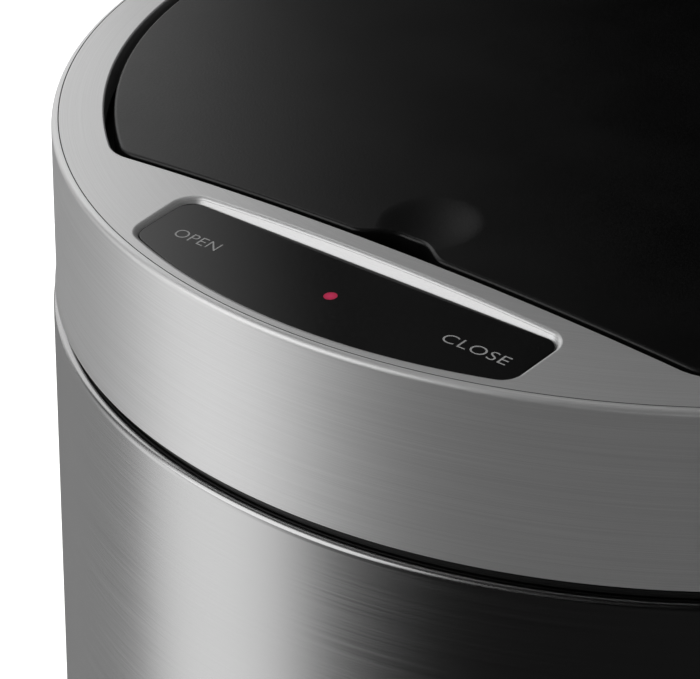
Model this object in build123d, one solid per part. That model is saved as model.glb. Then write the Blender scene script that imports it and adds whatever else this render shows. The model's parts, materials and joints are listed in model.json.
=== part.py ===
"""Round 50 litre touch top trash can: brushed steel body, lift-off head, motor-driven lid.

The part stands on z = 0 with its axis on Z. The front, where the touch panel is, faces -Y.
Sizes are millimetres.
"""

import os
from math import acos, atan, cos, degrees, pi, radians, sin, sqrt, tan

from build123d import *

# Overall sizes
HEAD_R = 178.0
BODY_STEP = 1.0
RIM_Z = 638.0
BAND_H = 50.0
REVEAL_H = 3.7
CROWN_R = 1375.0
STEEL_T = 1.2
RIM_FILLET = 2.1

# Clearances
SEAT_GAP = 0.2
SLIDE_GAP = 0.4
PIN_GAP = 0.04
PRESS_GAP = 0.02

# Lid opening in the collar, a circle cut off by a front and a rear chord
OPENING_INSET = 14.6
OPENING_FRONT_INSET = 46.8
OPENING_REAR_INSET = 80.6
OPENING_CORNER = 15.0
OPENING_LIP = 8.0

# Lid
LID_GAP = 2.6
LID_SINK = 0.6
LID_T = 2.4
LID_WALL = 2.2
LID_H = 9.0
NOSE_R = 10.4
SWING_GAP = 1.0
NOTCH_DEPTH = 5.8
NOTCH_HALF_W = 9.0
NOTCH_BLEND = 13.0
DIMPLE_R = 13.0
DIMPLE_DEPTH = 1.6
DIMPLE_SETBACK = 9.0
LINER_T = 2.0
LID_BOSS_R = 3.6
LID_BOSSES = ((105.0, 25.0), (85.0, -85.0))
BUMPER_R = 3.0
BUMPER_STUD_R = 1.5
BUMPER_INSET = 8.6
BUMPER_FRONT_X = 60.0

# Touch panel and its recess
PANEL_BACK_SETBACK = 7.7
PANEL_BACK_RISE = 1.8
PANEL_SLOPE = 0.0936
PANEL_HALF_W = 62.5
PANEL_FRONT_INSET = 6.2
PANEL_T = 2.4
PANEL_CORNER = 5.0
PANEL_GAP = 0.15
RECESS_FLARE_DEG = 30.0
PAN_T = 1.2
WINDOW_LEDGE = 5.0
LED_R = 1.8
LED_SETBACK = 15.7
BOARD_L = 112.0
BOARD_W = 18.0
BOARD_T = 1.6
BOARD_SETBACK = 12.0
BOARD_SCREW_X = (-32.0, 32.0)
BOARD_SCREW_SETBACK = 9.0
BOARD_SCREW_L = 5.6
BOARD_POST_R = 3.0

# Plastic frame that carries the head
THROAT_INSET = 13.4
THROAT_FRONT_INSET = 13.2
THROAT_REAR_INSET = 39.4
THROAT_CORNER = 14.0
THROAT_T = 2.0
THROAT_DEPTH = 62.0
LEDGE_DEPTH = 14.0
LEDGE_T = 2.5
SKIRT_T = 2.0
COVER_DEPTH = 46.0
COVER_T = 2.0
BOSS_R = 4.0
BOSS_INSET = 14.5
BOSS_ANGLES = (0, 40, 140, 180, 218, 322)
SCREW_R = 1.4
SCREW_HEAD_R = 2.8
SCREW_HEAD_T = 2.0
SCREW_L = 12.0

# Rim ring, bag ring, body and base
RIM_LINE_INSET = 2.2
RIM_STEP_INSET = 3.4
RIM_RING_W = 19.0
RIM_LINE_DROP = 2.1
RIM_LINE_T = 0.9
RIM_SKIRT_H = 24.0
RIM_SKIRT_T = 2.0
BAG_RING_INSET = 8.0
BAG_RING_T = 2.0
BAG_SKIRT_H = 21.0
SHELL_T = 1.0
ROLL_R = 2.3
BASE_STEP = 2.0
BASE_RING_TOP_Z = 13.0
BASE_FLOOR_T = 3.0
BASE_UPSTAND_H = 18.0
FOOT_R = 13.0
FOOT_H = 4.0
FOOT_STUD_R = 3.0
FOOT_INSET = 29.0
FOOT_COUNT = 5

# Lid drive
MODULE = 1.0
PRESSURE_DEG = 25.0
ADDENDUM = 0.8
DEDENDUM = 1.05
BACKLASH = 0.14
SECTOR_TEETH = 40
PINION_TEETH = 12
WHEEL_TEETH = 28
SECTOR_X = 40.0
SECTOR_W = 5.0
WHEEL_W = 4.5
GEAR_SIDE_GAP = 1.0
AXLE_R = 1.5
HINGE_PIN_R = 2.0
PLATE_T = 2.5
MOTOR_R = 12.0
MOTOR_L = 30.0
MOTOR_SHAFT_R = 1.0
MOTOR_BOSS_R = 4.0
MOTOR_SCREW_DZ = (8.2, -8.2)
EAR_T = 2.4
EAR_R = 6.0

# Batteries, door and switch
CELL_R = 7.1
CELL_L = 49.0
CELL_NUB_R = 2.6
CELL_NUB_L = 1.4
BOX_T = 1.6
BOX_GAP = 2.6
DOOR_HALF_W = 52.0
DOOR_DROP = 41.0
DOOR_H = 27.0
SWITCH_ANGLE = 27.0
SWITCH_DROP = 32.0
SWITCH_W = 21.0
SWITCH_H = 15.0
SWITCH_DEPTH = 13.0
LOOM_R = 1.4
LOOM_INSET = 8.5
LOOM_HOLE = (88.0, -144.0)

# Derived places
BODY_R = HEAD_R + BODY_STEP
BASE_R = BODY_R + BASE_STEP
FOOT_CIRCLE_R = BODY_R - FOOT_INSET
OPENING_R = HEAD_R - OPENING_INSET
OPENING_FRONT_Y = OPENING_FRONT_INSET - HEAD_R
OPENING_REAR_Y = HEAD_R - OPENING_REAR_INSET
THROAT_R = OPENING_R - THROAT_INSET
THROAT_FRONT_Y = OPENING_FRONT_Y + THROAT_FRONT_INSET
THROAT_REAR_Y = OPENING_REAR_Y - THROAT_REAR_INSET
PANEL_BACK_Y = OPENING_FRONT_Y - PANEL_BACK_SETBACK
PANEL_BACK_Z = RIM_Z + PANEL_BACK_RISE
PANEL_FRONT_R = HEAD_R - PANEL_FRONT_INSET
LED_Y = PANEL_BACK_Y - LED_SETBACK
BOSS_CIRCLE_R = HEAD_R - BOSS_INSET
LOOM_CIRCLE_R = HEAD_R - LOOM_INSET
RIM_LINE_R = BODY_R - RIM_LINE_INSET
RIM_STEP_R = BODY_R - RIM_STEP_INSET
RIM_RING_IN_R = BODY_R - RIM_RING_W
BAG_RING_R = BODY_R - BAG_RING_INSET
LID_BOTTOM_Z = RIM_Z - LID_H
LEDGE_TOP_Z = RIM_Z - LEDGE_DEPTH
THROAT_BOTTOM_Z = RIM_Z - THROAT_DEPTH
COVER_Z = RIM_Z - COVER_DEPTH
DOOR_Z = RIM_Z - DOOR_DROP
SWITCH_Z = RIM_Z - SWITCH_DROP
BAND_Z = RIM_Z - BAND_H
RIM_LINE_Z = BAND_Z - RIM_LINE_DROP
BODY_TOP_Z = BAND_Z - REVEAL_H
CROWN_Z = RIM_Z - sqrt(CROWN_R**2 - HEAD_R**2)
TOP_Z = CROWN_Z + CROWN_R
HINGE_Y = OPENING_REAR_Y - LID_GAP - NOSE_R
HINGE_Z = CROWN_Z + sqrt((CROWN_R - LID_SINK) ** 2 - HINGE_Y**2) - NOSE_R
PANEL_TILT = degrees(atan(PANEL_SLOPE))
PCB_DEPTH = PANEL_T + PAN_T + 3.0
SKIRT_R = HEAD_R - STEEL_T - 0.3
SKIRT_Z = RIM_LINE_Z + RIM_LINE_T + SEAT_GAP
GEAR_Z = HINGE_Z - MODULE * (SECTOR_TEETH + PINION_TEETH) / 2
GEAR_STEP = MODULE * (WHEEL_TEETH + PINION_TEETH) / 2
GEAR_2_Y = HINGE_Y + GEAR_STEP
MOTOR_Y = GEAR_2_Y + GEAR_STEP
EAR_X = SECTOR_X + SECTOR_W + 0.8
WHEEL_1_X = EAR_X + EAR_T + GEAR_SIDE_GAP
WHEEL_2_X = WHEEL_1_X + WHEEL_W + GEAR_SIDE_GAP
PLATE_IN_X = SECTOR_X - GEAR_SIDE_GAP - PLATE_T
PLATE_OUT_X = WHEEL_2_X + WHEEL_W + GEAR_SIDE_GAP
PLATE_Z = COVER_Z + COVER_T + SEAT_GAP
BOX_FRONT_Y = MOTOR_Y + MOTOR_R + BOX_GAP
CELL_Y = BOX_FRONT_Y + BOX_T + 0.1 + CELL_R
CELL_ROW = 2 * CELL_R + 1.4
CELL_Z = PLATE_Z + BOX_T + 0.1 + CELL_R
BOX_HALF_W = CELL_L + CELL_NUB_L + 1.0 + BOX_T
BASE_Z = FOOT_H
TALL = 60.0
HIGH_Z = RIM_Z + TALL
FAR = 1.5 * HEAD_R


def crown_ball(radius):
    """The ball whose surface is the crown of the head, or a surface below it."""
    return Pos(0, 0, CROWN_Z) * Sphere(radius)


def d_outline(radius, front_y, rear_y, front_corner, rear_corner):
    """A circle cut off by a front and a rear chord, with rounded corners."""
    width = 2 * radius + 20
    face = Circle(radius) & Pos(0, (front_y + rear_y) / 2) * Rectangle(width, rear_y - front_y)
    middle = (front_y + rear_y) / 2
    front = [v for v in face.vertices() if v.Y < middle]
    face = fillet(front, front_corner)
    rear = [v for v in face.vertices() if abs(v.Y - rear_y) < 0.01]
    return fillet(rear, rear_corner)


def opening_outline(grow):
    """The lid opening's outline, grown all round."""
    corner = OPENING_CORNER + grow
    return d_outline(
        OPENING_R + grow, OPENING_FRONT_Y - grow, OPENING_REAR_Y + grow, corner, corner
    )


def throat_outline(grow):
    """The outline of the hole that rubbish goes through, grown all round."""
    corner = THROAT_CORNER + grow
    return d_outline(THROAT_R + grow, THROAT_FRONT_Y - grow, THROAT_REAR_Y + grow, corner, corner)


def prism(face, low_z, high_z):
    """A flat face on z = 0, extruded between two heights."""
    return extrude(Pos(0, 0, low_z) * face, high_z - low_z)


def tube(outer_r, inner_r, low_z, high_z):
    """A plain ring about the Z axis."""
    return prism(Circle(outer_r) - Circle(inner_r), low_z, high_z)


def block(low, high):
    """A box between two corners."""
    size = [b - a for a, b in zip(low, high)]
    middle = [(a + b) / 2 for a, b in zip(low, high)]
    return Pos(*middle) * Box(*size)


def rod_x(radius, low_x, high_x, y, z):
    """A round rod along X."""
    length = high_x - low_x
    return Pos((low_x + high_x) / 2, y, z) * Rot(0, 90, 0) * Cylinder(radius, length)


def panel_plane(depth):
    """The touch panel's top plane, or one parallel to it and lower by depth."""
    tilt = radians(PANEL_TILT)
    normal = (0, -sin(tilt), cos(tilt))
    origin = (0, PANEL_BACK_Y + depth * sin(tilt), PANEL_BACK_Z - depth * cos(tilt))
    return Plane(origin=origin, x_dir=(1, 0, 0), z_dir=normal)


def panel_outline(grow):
    """The touch panel's outline in its own plane: straight back, square ends, round front."""
    half = PANEL_HALF_W + grow
    front_r = PANEL_FRONT_R + grow
    disc = Pos(0, -PANEL_BACK_Y) * Circle(front_r)
    depth = front_r + PANEL_BACK_Y + grow
    strip = Pos(0, grow - depth / 2) * Rectangle(2 * half, depth)
    face = disc & strip
    return fillet(face.vertices(), max(PANEL_CORNER + grow, 2.0))


def gear(teeth, width, low_x, y, z, phase_deg, bore_r):
    """A spur gear on an X axis. phase_deg turns its first tooth from +Y towards +Z."""
    pitch_r = MODULE * teeth / 2
    base_r = pitch_r * cos(radians(PRESSURE_DEG))
    tip_r = pitch_r + ADDENDUM * MODULE
    root_r = pitch_r - DEDENDUM * MODULE
    pressure = radians(PRESSURE_DEG)
    half_at_pitch = (pi * MODULE / 2 - BACKLASH) / (2 * pitch_r)
    involute_at_pitch = tan(pressure) - pressure

    def half_angle(radius):
        angle = acos(min(1.0, base_r / radius))
        return half_at_pitch + involute_at_pitch - (tan(angle) - angle)

    low_r = max(base_r, root_r)
    radii = [low_r + (tip_r - low_r) * i / 4 for i in range(5)]
    points = []
    for tooth in range(teeth):
        middle = 2 * pi * tooth / teeth + radians(phase_deg)
        flank = [(r, half_angle(r)) for r in radii]
        if root_r < low_r - 0.01:
            flank.insert(0, (root_r, half_angle(low_r)))
        points += [(r * cos(middle - a), r * sin(middle - a)) for r, a in flank]
        points += [(r * cos(middle + a), r * sin(middle + a)) for r, a in reversed(flank)]
    face = make_face(Polyline(*points, close=True)) - Circle(bore_r)
    return Pos(low_x, y, z) * x_extrude(face, width)


def x_extrude(face, width):
    """Extrudes a face drawn in (Y, Z) along +X."""
    return extrude(Plane.YZ * face, width)


def save(name, shape):
    """Writes one sub-part as a STEP file."""
    export_step(shape, f"parts/{name}.step")


def crown_profile(radius, low_z, depth, round_r):
    """Half section of a turned blank whose top lies the given depth below the crown."""
    ball_r = CROWN_R - depth
    edge_z = CROWN_Z + sqrt(ball_r**2 - radius**2)
    middle = (radius / 2, CROWN_Z + sqrt(ball_r**2 - radius**2 / 4))
    crown = ThreePointArc((0, CROWN_Z + ball_r), middle, (radius, edge_z))
    sides = Polyline((radius, edge_z), (radius, low_z), (0, low_z), (0, CROWN_Z + ball_r))
    face = make_face([crown, sides])
    corner = [v for v in face.vertices() if abs(v.X - radius) < 0.01 and abs(v.Y - edge_z) < 0.01]
    return fillet(corner, round_r)


def turned(face):
    """Turns a half section drawn in (radius, z) about the Z axis."""
    return revolve(Plane.XZ * face, Axis.Z)


def place(node_list):
    """Joins separate solids into one group that is written as one node."""
    return Compound(children=list(node_list))


def screw(length, head_down=True):
    """A plain cheese-head screw along Z, its head's seat on z = 0 and its shank upwards."""
    shank = Pos(0, 0, length / 2) * Cylinder(SCREW_R, length)
    top = Pos(0, 0, -SCREW_HEAD_T / 2) * Cylinder(SCREW_HEAD_R, SCREW_HEAD_T)
    slot = Pos(0, 0, -SCREW_HEAD_T) * Box(2 * SCREW_HEAD_R + 1, 0.8, 1.4)
    made = shank + top - slot
    return made if head_down else Rot(180, 0, 0) * made


def ring_places(radius, angles):
    """Places on a circle about the Z axis."""
    return [(radius * cos(radians(a)), radius * sin(radians(a))) for a in angles]


def make_collar_shell():
    """Steel collar: crowned top ring, rounded rim, straight band, lid opening and panel pan."""
    shell = turned(crown_profile(HEAD_R, BAND_Z, 0, RIM_FILLET))
    shell -= turned(crown_profile(HEAD_R - STEEL_T, BAND_Z - 1, STEEL_T, RIM_FILLET - STEEL_T))
    shell -= prism(opening_outline(0), BAND_Z - 5, BAND_Z + 2 * TALL)
    lip = prism(opening_outline(STEEL_T) - opening_outline(0), BAND_Z, BAND_Z + 2 * TALL)
    shell += (lip & crown_ball(CROWN_R - STEEL_T / 2)) - crown_ball(CROWN_R - OPENING_LIP)
    pan_depth = PANEL_T + PAN_T
    outer_pan = extrude(panel_plane(pan_depth) * panel_outline(PAN_T + PANEL_GAP), TALL)
    shell += outer_pan & crown_ball(CROWN_R - STEEL_T / 2)
    shell -= extrude(panel_plane(PANEL_T) * panel_outline(PANEL_GAP), PANEL_T + 0.01)
    shell -= extrude(panel_plane(0) * panel_outline(PANEL_GAP), 12, taper=-RECESS_FLARE_DEG)
    shell -= extrude(panel_plane(pan_depth + 1) * panel_outline(-WINDOW_LEDGE), pan_depth + 1)
    shell -= door_cut(0) + switch_cut(0)
    return shell


def door_cut(grow):
    """The battery door's hole through the band."""
    low = (-DOOR_HALF_W - grow, HEAD_R - 30, DOOR_Z - grow)
    high = (DOOR_HALF_W + grow, HEAD_R + 5, DOOR_Z + DOOR_H + grow)
    return block(low, high)


def at_switch(shape):
    """Turns a shape drawn at the rear centre to the power switch's place."""
    return Rot(0, 0, SWITCH_ANGLE) * shape


def switch_cut(grow):
    """The power switch's hole through the band."""
    half_w, half_h = SWITCH_W / 2 + grow, SWITCH_H / 2 + grow
    low = (-half_w, HEAD_R - 12, SWITCH_Z - half_h)
    high = (half_w, HEAD_R + 5, SWITCH_Z + half_h)
    return at_switch(block(low, high))


def hinge_slot(low_x, high_x):
    """Room in the lid for a fixed ear or the gear sector, over the lid's whole swing."""
    wedge = Polyline((0, 0), (37, 20), (37, -40), (-30, -36), close=True)
    face = make_face(wedge) + Circle(EAR_R + 1.6)
    return Pos(low_x, HINGE_Y, HINGE_Z) * x_extrude(face, high_x - low_x)


def lid_slots():
    """The three slots in the lid's rear edge: right ear with sector, and left ear."""
    right = hinge_slot(SECTOR_X - 0.8, EAR_X + EAR_T + 0.8)
    left = hinge_slot(-EAR_X - EAR_T - 0.8, -EAR_X + 0.8)
    return right + left


def notch_face(grow):
    """Plan of the finger notch in the lid's front edge, with soft S-shaped ends."""
    front_y = OPENING_FRONT_Y + LID_GAP
    reach = NOTCH_HALF_W + NOTCH_BLEND / 2 + grow
    points = [(-reach, front_y)]
    for i in range(1, 7):
        t = i / 6
        depth = (NOTCH_DEPTH + grow) * t * t * (3 - 2 * t)
        points.append((-reach + NOTCH_BLEND * t, front_y + depth))
    points += [(-x, y) for x, y in reversed(points)]
    edge = Spline(*points)
    out_y = front_y - 9
    outside = Polyline((reach, front_y), (reach, out_y), (-reach, out_y), (-reach, front_y))
    return make_face([edge, outside])


def dimple_ball(grow):
    """The ball that cuts the shallow finger dimple."""
    ball_r = (DIMPLE_R**2 + DIMPLE_DEPTH**2) / (2 * DIMPLE_DEPTH)
    y = OPENING_FRONT_Y + LID_GAP + NOTCH_DEPTH + DIMPLE_SETBACK
    z = CROWN_Z + sqrt((CROWN_R - LID_SINK) ** 2 - y**2) - DIMPLE_DEPTH + ball_r
    return Pos(0, y, z) * Sphere(ball_r + grow)


def behind_hinge(radius):
    """What lies behind the hinge axis and outside a radius about it."""
    slab = block((-FAR, HINGE_Y, HINGE_Z - TALL), (FAR, HINGE_Y + TALL, HINGE_Z + TALL))
    return slab - rod_x(radius, -FAR - 1, FAR + 1, HINGE_Y, HINGE_Z)


def both_sides(places):
    """Places given on the right, with their mirror images on the left."""
    return [(side * x, y) for x, y in places for side in (1, -1)]


GEAR_FOOT_SCREWS = [(SECTOR_X - 5, HINGE_Y - 12), (SECTOR_X - 5, HINGE_Y - 24)]


def make_lid_panel():
    """Lid: crowned skin with side walls, finger notch, rounded rear nose, ribs and bosses."""
    top = crown_ball(CROWN_R - LID_SINK)
    outer = prism(opening_outline(-LID_GAP), LID_BOTTOM_Z, LID_BOTTOM_Z + TALL) & top
    outer -= prism(notch_face(0), LID_BOTTOM_Z - 1, LID_BOTTOM_Z + TALL)
    outer -= behind_hinge(NOSE_R)
    inner = prism(opening_outline(-LID_GAP - LID_WALL), LID_BOTTOM_Z - 1, LID_BOTTOM_Z + TALL)
    inner = inner & crown_ball(CROWN_R - LID_SINK - LID_T)
    inner -= prism(notch_face(LID_WALL), LID_BOTTOM_Z - 1, LID_BOTTOM_Z + TALL)
    inner -= behind_hinge(NOSE_R - LID_T)
    inner -= dimple_ball(LID_T)
    lid = outer - inner - dimple_ball(0)
    ribs = []
    for side in (1, -1):
        for low_x in (SECTOR_X - 3.8, EAR_X + EAR_T + 0.8):
            ends = sorted((side * low_x, side * (low_x + 3)))
            low = (ends[0], HINGE_Y - 6, LID_BOTTOM_Z)
            high = (ends[1], HINGE_Y + NOSE_R, LID_BOTTOM_Z + TALL)
            ribs.append((block(low, high) & top) - behind_hinge(NOSE_R - LID_T / 2))
    liner_top_z = LID_BOTTOM_Z + LINER_T + SEAT_GAP
    for x, y in both_sides(LID_BOSSES):
        ribs.append((Pos(x, y) * prism(Circle(LID_BOSS_R), liner_top_z, HIGH_Z)) & top)
    for x, y in GEAR_FOOT_SCREWS:
        ribs.append((Pos(x, y) * prism(Circle(LID_BOSS_R), HINGE_Z + SEAT_GAP, HIGH_Z)) & top)
    for rib in ribs:
        lid += rib
    lid -= lid_slots()
    for side in (1, -1):
        ends = sorted((side * (SECTOR_X - 5), side * (EAR_X + EAR_T + 5)))
        lid -= rod_x(HINGE_PIN_R + PRESS_GAP, ends[0], ends[1], HINGE_Y, HINGE_Z)
    for x, y in both_sides(LID_BOSSES):
        lid -= Pos(x, y) * prism(Circle(SCREW_R + PRESS_GAP), LID_BOTTOM_Z, LID_BOTTOM_Z + SCREW_L)
    for x, y in GEAR_FOOT_SCREWS:
        lid -= Pos(x, y) * prism(Circle(SCREW_R + PRESS_GAP), HINGE_Z - 1, HINGE_Z + 7.5)
    return lid


def make_lid_liner():
    """Flat plate that closes the lid's underside."""
    face = opening_outline(-LID_GAP - LID_WALL - SEAT_GAP)
    liner = prism(face, LID_BOTTOM_Z, LID_BOTTOM_Z + LINER_T)
    liner -= prism(notch_face(LID_WALL + SEAT_GAP), LID_BOTTOM_Z - 1, LID_BOTTOM_Z + 5)
    liner -= block((-FAR, HINGE_Y - 6.5, LID_BOTTOM_Z - 1), (FAR, HINGE_Y + 40, LID_BOTTOM_Z + 5))
    for x, y in both_sides(LID_BOSSES):
        liner -= Pos(x, y, LID_BOTTOM_Z) * Cylinder(SCREW_R + 0.1, 9)
    for x, y in bumper_places():
        liner -= Pos(x, y, LID_BOTTOM_Z) * Cylinder(BUMPER_STUD_R + PRESS_GAP, 9)
    return liner


def bumper_places():
    """Where the lid's four rubber stops sit."""
    front_y = OPENING_FRONT_Y + BUMPER_INSET
    return both_sides([(OPENING_R - BUMPER_INSET, 0), (BUMPER_FRONT_X, front_y)])


def make_lid_bumpers():
    """Rubber stops under the lid that rest on the frame's ledge."""
    low_z = LEDGE_TOP_Z + 0.05
    pads = []
    stud = prism(Circle(BUMPER_STUD_R), LID_BOTTOM_Z - 1, LID_BOTTOM_Z + LINER_T - SEAT_GAP)
    for x, y in bumper_places():
        pads.append(Pos(x, y) * (prism(Circle(BUMPER_R), low_z, LID_BOTTOM_Z) + stud))
    return place(pads)


def make_lid_screws():
    """Four screws that hold the liner, and two that hold the gear sector's foot."""
    made = [Pos(x, y, LID_BOTTOM_Z) * screw(8) for x, y in both_sides(LID_BOSSES)]
    foot_z = LID_BOTTOM_Z + LINER_T + SEAT_GAP + SCREW_HEAD_T + 0.4
    made += [Pos(x, y, foot_z) * screw(9) for x, y in GEAR_FOOT_SCREWS]
    return place(made)


def make_lid_gear():
    """Gear sector fixed in the lid: teeth about the hinge axis, a hub and a screwed foot."""
    full = gear(SECTOR_TEETH, SECTOR_W, SECTOR_X, HINGE_Y, HINGE_Z, 0, HINGE_PIN_R + PRESS_GAP)
    points = [(0, 0)] + [(60 * cos(radians(a)), 60 * sin(radians(a))) for a in (4, -50, -104)]
    wedge = Pos(SECTOR_X - 1, HINGE_Y, HINGE_Z) * x_extrude(
        make_face(Polyline(*points, close=True)), SECTOR_W + 2
    )
    sector = full & wedge
    foot_low = LID_BOTTOM_Z + LINER_T + SEAT_GAP
    sector += rod_x(EAR_R + 0.6, SECTOR_X, SECTOR_X + SECTOR_W, HINGE_Y, HINGE_Z)
    sector += block(
        (SECTOR_X, HINGE_Y - 28, foot_low), (SECTOR_X + SECTOR_W, HINGE_Y, HINGE_Z)
    )
    foot = block((SECTOR_X - 9, HINGE_Y - 28, foot_low), (SECTOR_X + 1, HINGE_Y - 7, HINGE_Z))
    for x, y in GEAR_FOOT_SCREWS:
        foot -= Pos(x, y, foot_low) * Cylinder(SCREW_HEAD_R + 0.2, 2 * SCREW_HEAD_T + 0.8)
        foot -= Pos(x, y, HINGE_Z) * Cylinder(SCREW_R + 0.1, 20)
    sector += foot
    sector -= rod_x(HINGE_PIN_R + PRESS_GAP, SECTOR_X - 1, SECTOR_X + 9, HINGE_Y, HINGE_Z)
    return sector


def make_hinge_pins():
    """Two steel pins: pressed in the lid's ribs, turning in the frame's ears."""
    pins = []
    for side in (1, -1):
        ends = sorted((side * (SECTOR_X - 3.6), side * (EAR_X + EAR_T + 3.6)))
        pins.append(rod_x(HINGE_PIN_R, ends[0], ends[1], HINGE_Y, HINGE_Z))
    return place(pins)


def make_collar_frame():
    """Plastic frame under the collar: flange, skirt, lid well, ledge, throat, ears and bosses."""
    under = STEEL_T + SEAT_GAP
    outer = turned(crown_profile(SKIRT_R, SKIRT_Z, under, 1.6))
    frame = outer - turned(crown_profile(SKIRT_R - SKIRT_T, SKIRT_Z - 1, under + 2, 1.0))
    well = prism(opening_outline(under + SKIRT_T), LEDGE_TOP_Z - LEDGE_T, HIGH_Z) & outer
    frame += well
    frame += prism(throat_outline(THROAT_T), THROAT_BOTTOM_Z, LEDGE_TOP_Z)
    tray = prism(Circle(SKIRT_R - 0.5), LEDGE_TOP_Z - LEDGE_T, LEDGE_TOP_Z)
    tray_side_y = OPENING_FRONT_Y - under
    frame += tray & block((-FAR, -FAR, SKIRT_Z), (FAR, tray_side_y, HIGH_Z))
    for x, y in ring_places(BOSS_CIRCLE_R, BOSS_ANGLES):
        top_z = LEDGE_TOP_Z - 1 if y < OPENING_REAR_Y else HIGH_Z
        frame += (Pos(x, y) * prism(Circle(BOSS_R), PLATE_Z, top_z)) & outer
    for x in BOARD_SCREW_X:
        post = prism(Circle(BOARD_POST_R), LEDGE_TOP_Z - 1, RIM_Z + 12)
        frame += Pos(x, PANEL_BACK_Y - BOARD_SCREW_SETBACK) * post
    room = Pos(0, -BOARD_SETBACK) * Rectangle(BOARD_L + 6, BOARD_W + 14)
    frame -= extrude(panel_plane(PCB_DEPTH + BOARD_T) * room, BOARD_T + 3.3)
    frame -= extrude(panel_plane(PANEL_T + PAN_T + 0.2) * panel_outline(PAN_T + 0.4), TALL)
    frame -= prism(opening_outline(under), LEDGE_TOP_Z, HIGH_Z)
    frame -= prism(throat_outline(0), THROAT_BOTTOM_Z - 1, HIGH_Z)
    nose_half = sqrt((OPENING_R - LID_GAP) ** 2 - (HINGE_Y - NOSE_R) ** 2) + SWING_GAP
    frame -= rod_x(NOSE_R + SWING_GAP, -nose_half, nose_half, HINGE_Y, HINGE_Z)
    frame -= block(
        (SECTOR_X - 1, THROAT_REAR_Y + THROAT_T, GEAR_Z - 5),
        (SECTOR_X + SECTOR_W + 0.6, HINGE_Y + 23, RIM_Z + 1),
    )
    frame -= block(
        (WHEEL_1_X - 0.5, HINGE_Y - 16.5, GEAR_Z - 5),
        (PLATE_OUT_X - 0.2, GEAR_2_Y + 17, LEDGE_TOP_Z + 2.5),
    )
    for side in (1, -1):
        ends = sorted((side * EAR_X, side * (EAR_X + EAR_T)))
        ear = rod_x(EAR_R, ends[0], ends[1], HINGE_Y, HINGE_Z)
        ear += block((ends[0], HINGE_Y - EAR_R, LEDGE_TOP_Z - 1), (ends[1], HINGE_Y + EAR_R, HINGE_Z))
        frame += ear - rod_x(HINGE_PIN_R + PIN_GAP, ends[0] - 1, ends[1] + 1, HINGE_Y, HINGE_Z)
    frame -= door_cut(-3) + switch_cut(0.3)
    for x, y in ring_places(BOSS_CIRCLE_R, BOSS_ANGLES):
        frame -= Pos(x, y) * prism(Circle(SCREW_R + PRESS_GAP), PLATE_Z - 1, COVER_Z + SCREW_L + 0.5)
    for x in BOARD_SCREW_X:
        hole = Pos(x, -BOARD_SCREW_SETBACK, 0) * Cylinder(SCREW_R + PRESS_GAP, 30)
        frame -= (panel_plane(PCB_DEPTH) * hole) & block((-FAR, -FAR, LEDGE_TOP_Z), (FAR, 0, HIGH_Z))
    x, y = LOOM_HOLE
    frame -= block((x - 10, y - 4.5, LEDGE_TOP_Z - 9), (x + 5, y + 5, LEDGE_TOP_Z + 1))
    return frame


def make_bay_cover():
    """Flat ring under the head that closes the works' bay and carries the gear case."""
    face = Circle(SKIRT_R - SKIRT_T - SLIDE_GAP) - throat_outline(THROAT_T + SLIDE_GAP)
    cover = prism(face, COVER_Z, COVER_Z + COVER_T)
    for x, y in ring_places(BOSS_CIRCLE_R, BOSS_ANGLES) + CASE_FEET:
        cover -= Pos(x, y, COVER_Z) * Cylinder(SCREW_R + 0.1, 9)
    return cover


CASE_FOOT_HALF = 4.0
CASE_FOOT_H = 7.8
CASE_IN_FOOT_X = PLATE_IN_X - CASE_FOOT_HALF
CASE_OUT_FOOT_X = PLATE_OUT_X + PLATE_T + CASE_FOOT_HALF
CASE_FEET = [
    (CASE_IN_FOOT_X, HINGE_Y - 16.4),
    (CASE_IN_FOOT_X, MOTOR_Y - 6.4),
    (CASE_OUT_FOOT_X, HINGE_Y - 16.4),
    (CASE_OUT_FOOT_X, GEAR_2_Y - 0.4),
]


def make_cover_screws():
    """Six screws up into the frame's bosses and four into the gear case's feet."""
    made = [Pos(x, y, COVER_Z) * screw(SCREW_L) for x, y in ring_places(BOSS_CIRCLE_R, BOSS_ANGLES)]
    made += [Pos(x, y, COVER_Z) * screw(8.5) for x, y in CASE_FEET]
    return place(made)


PILLAR_R = 3.0
PILLAR_PIN_R = 1.6
CASE_PILLARS = [(HINGE_Y - 16.9, GEAR_Z - 11.5), (MOTOR_Y + 9.2, GEAR_Z - 10.5)]


def case_plate(low_x, feet):
    """One side plate of the gear case with its screwed feet."""
    high = (low_x + PLATE_T, MOTOR_Y + MOTOR_R + 1.2, GEAR_Z + 10.4)
    plate = block((low_x, HINGE_Y - 20.9, PLATE_Z), high)
    half = CASE_FOOT_HALF
    for x, y in feet:
        low = (min(x - half, low_x), y - half, PLATE_Z)
        plate += block(low, (max(x + half, low_x + PLATE_T), y + half, PLATE_Z + CASE_FOOT_H))
        plate -= Pos(x, y) * prism(Circle(SCREW_R + PRESS_GAP), PLATE_Z - 1, PLATE_Z + CASE_FOOT_H - 1)
    for y in (HINGE_Y, GEAR_2_Y):
        plate -= rod_x(AXLE_R + PRESS_GAP, low_x - 1, low_x + PLATE_T + 1, y, GEAR_Z)
    return plate


def make_gear_case_left():
    """Inner side plate of the gear case, with the two pillars that space the plates."""
    plate = case_plate(PLATE_IN_X, CASE_FEET[:2])
    for y, z in CASE_PILLARS:
        plate += rod_x(PILLAR_R, PLATE_IN_X + 1, PLATE_OUT_X - 0.05, y, z)
        plate += rod_x(PILLAR_PIN_R, PLATE_IN_X + 1, PLATE_OUT_X + PLATE_T, y, z)
    return plate


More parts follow.
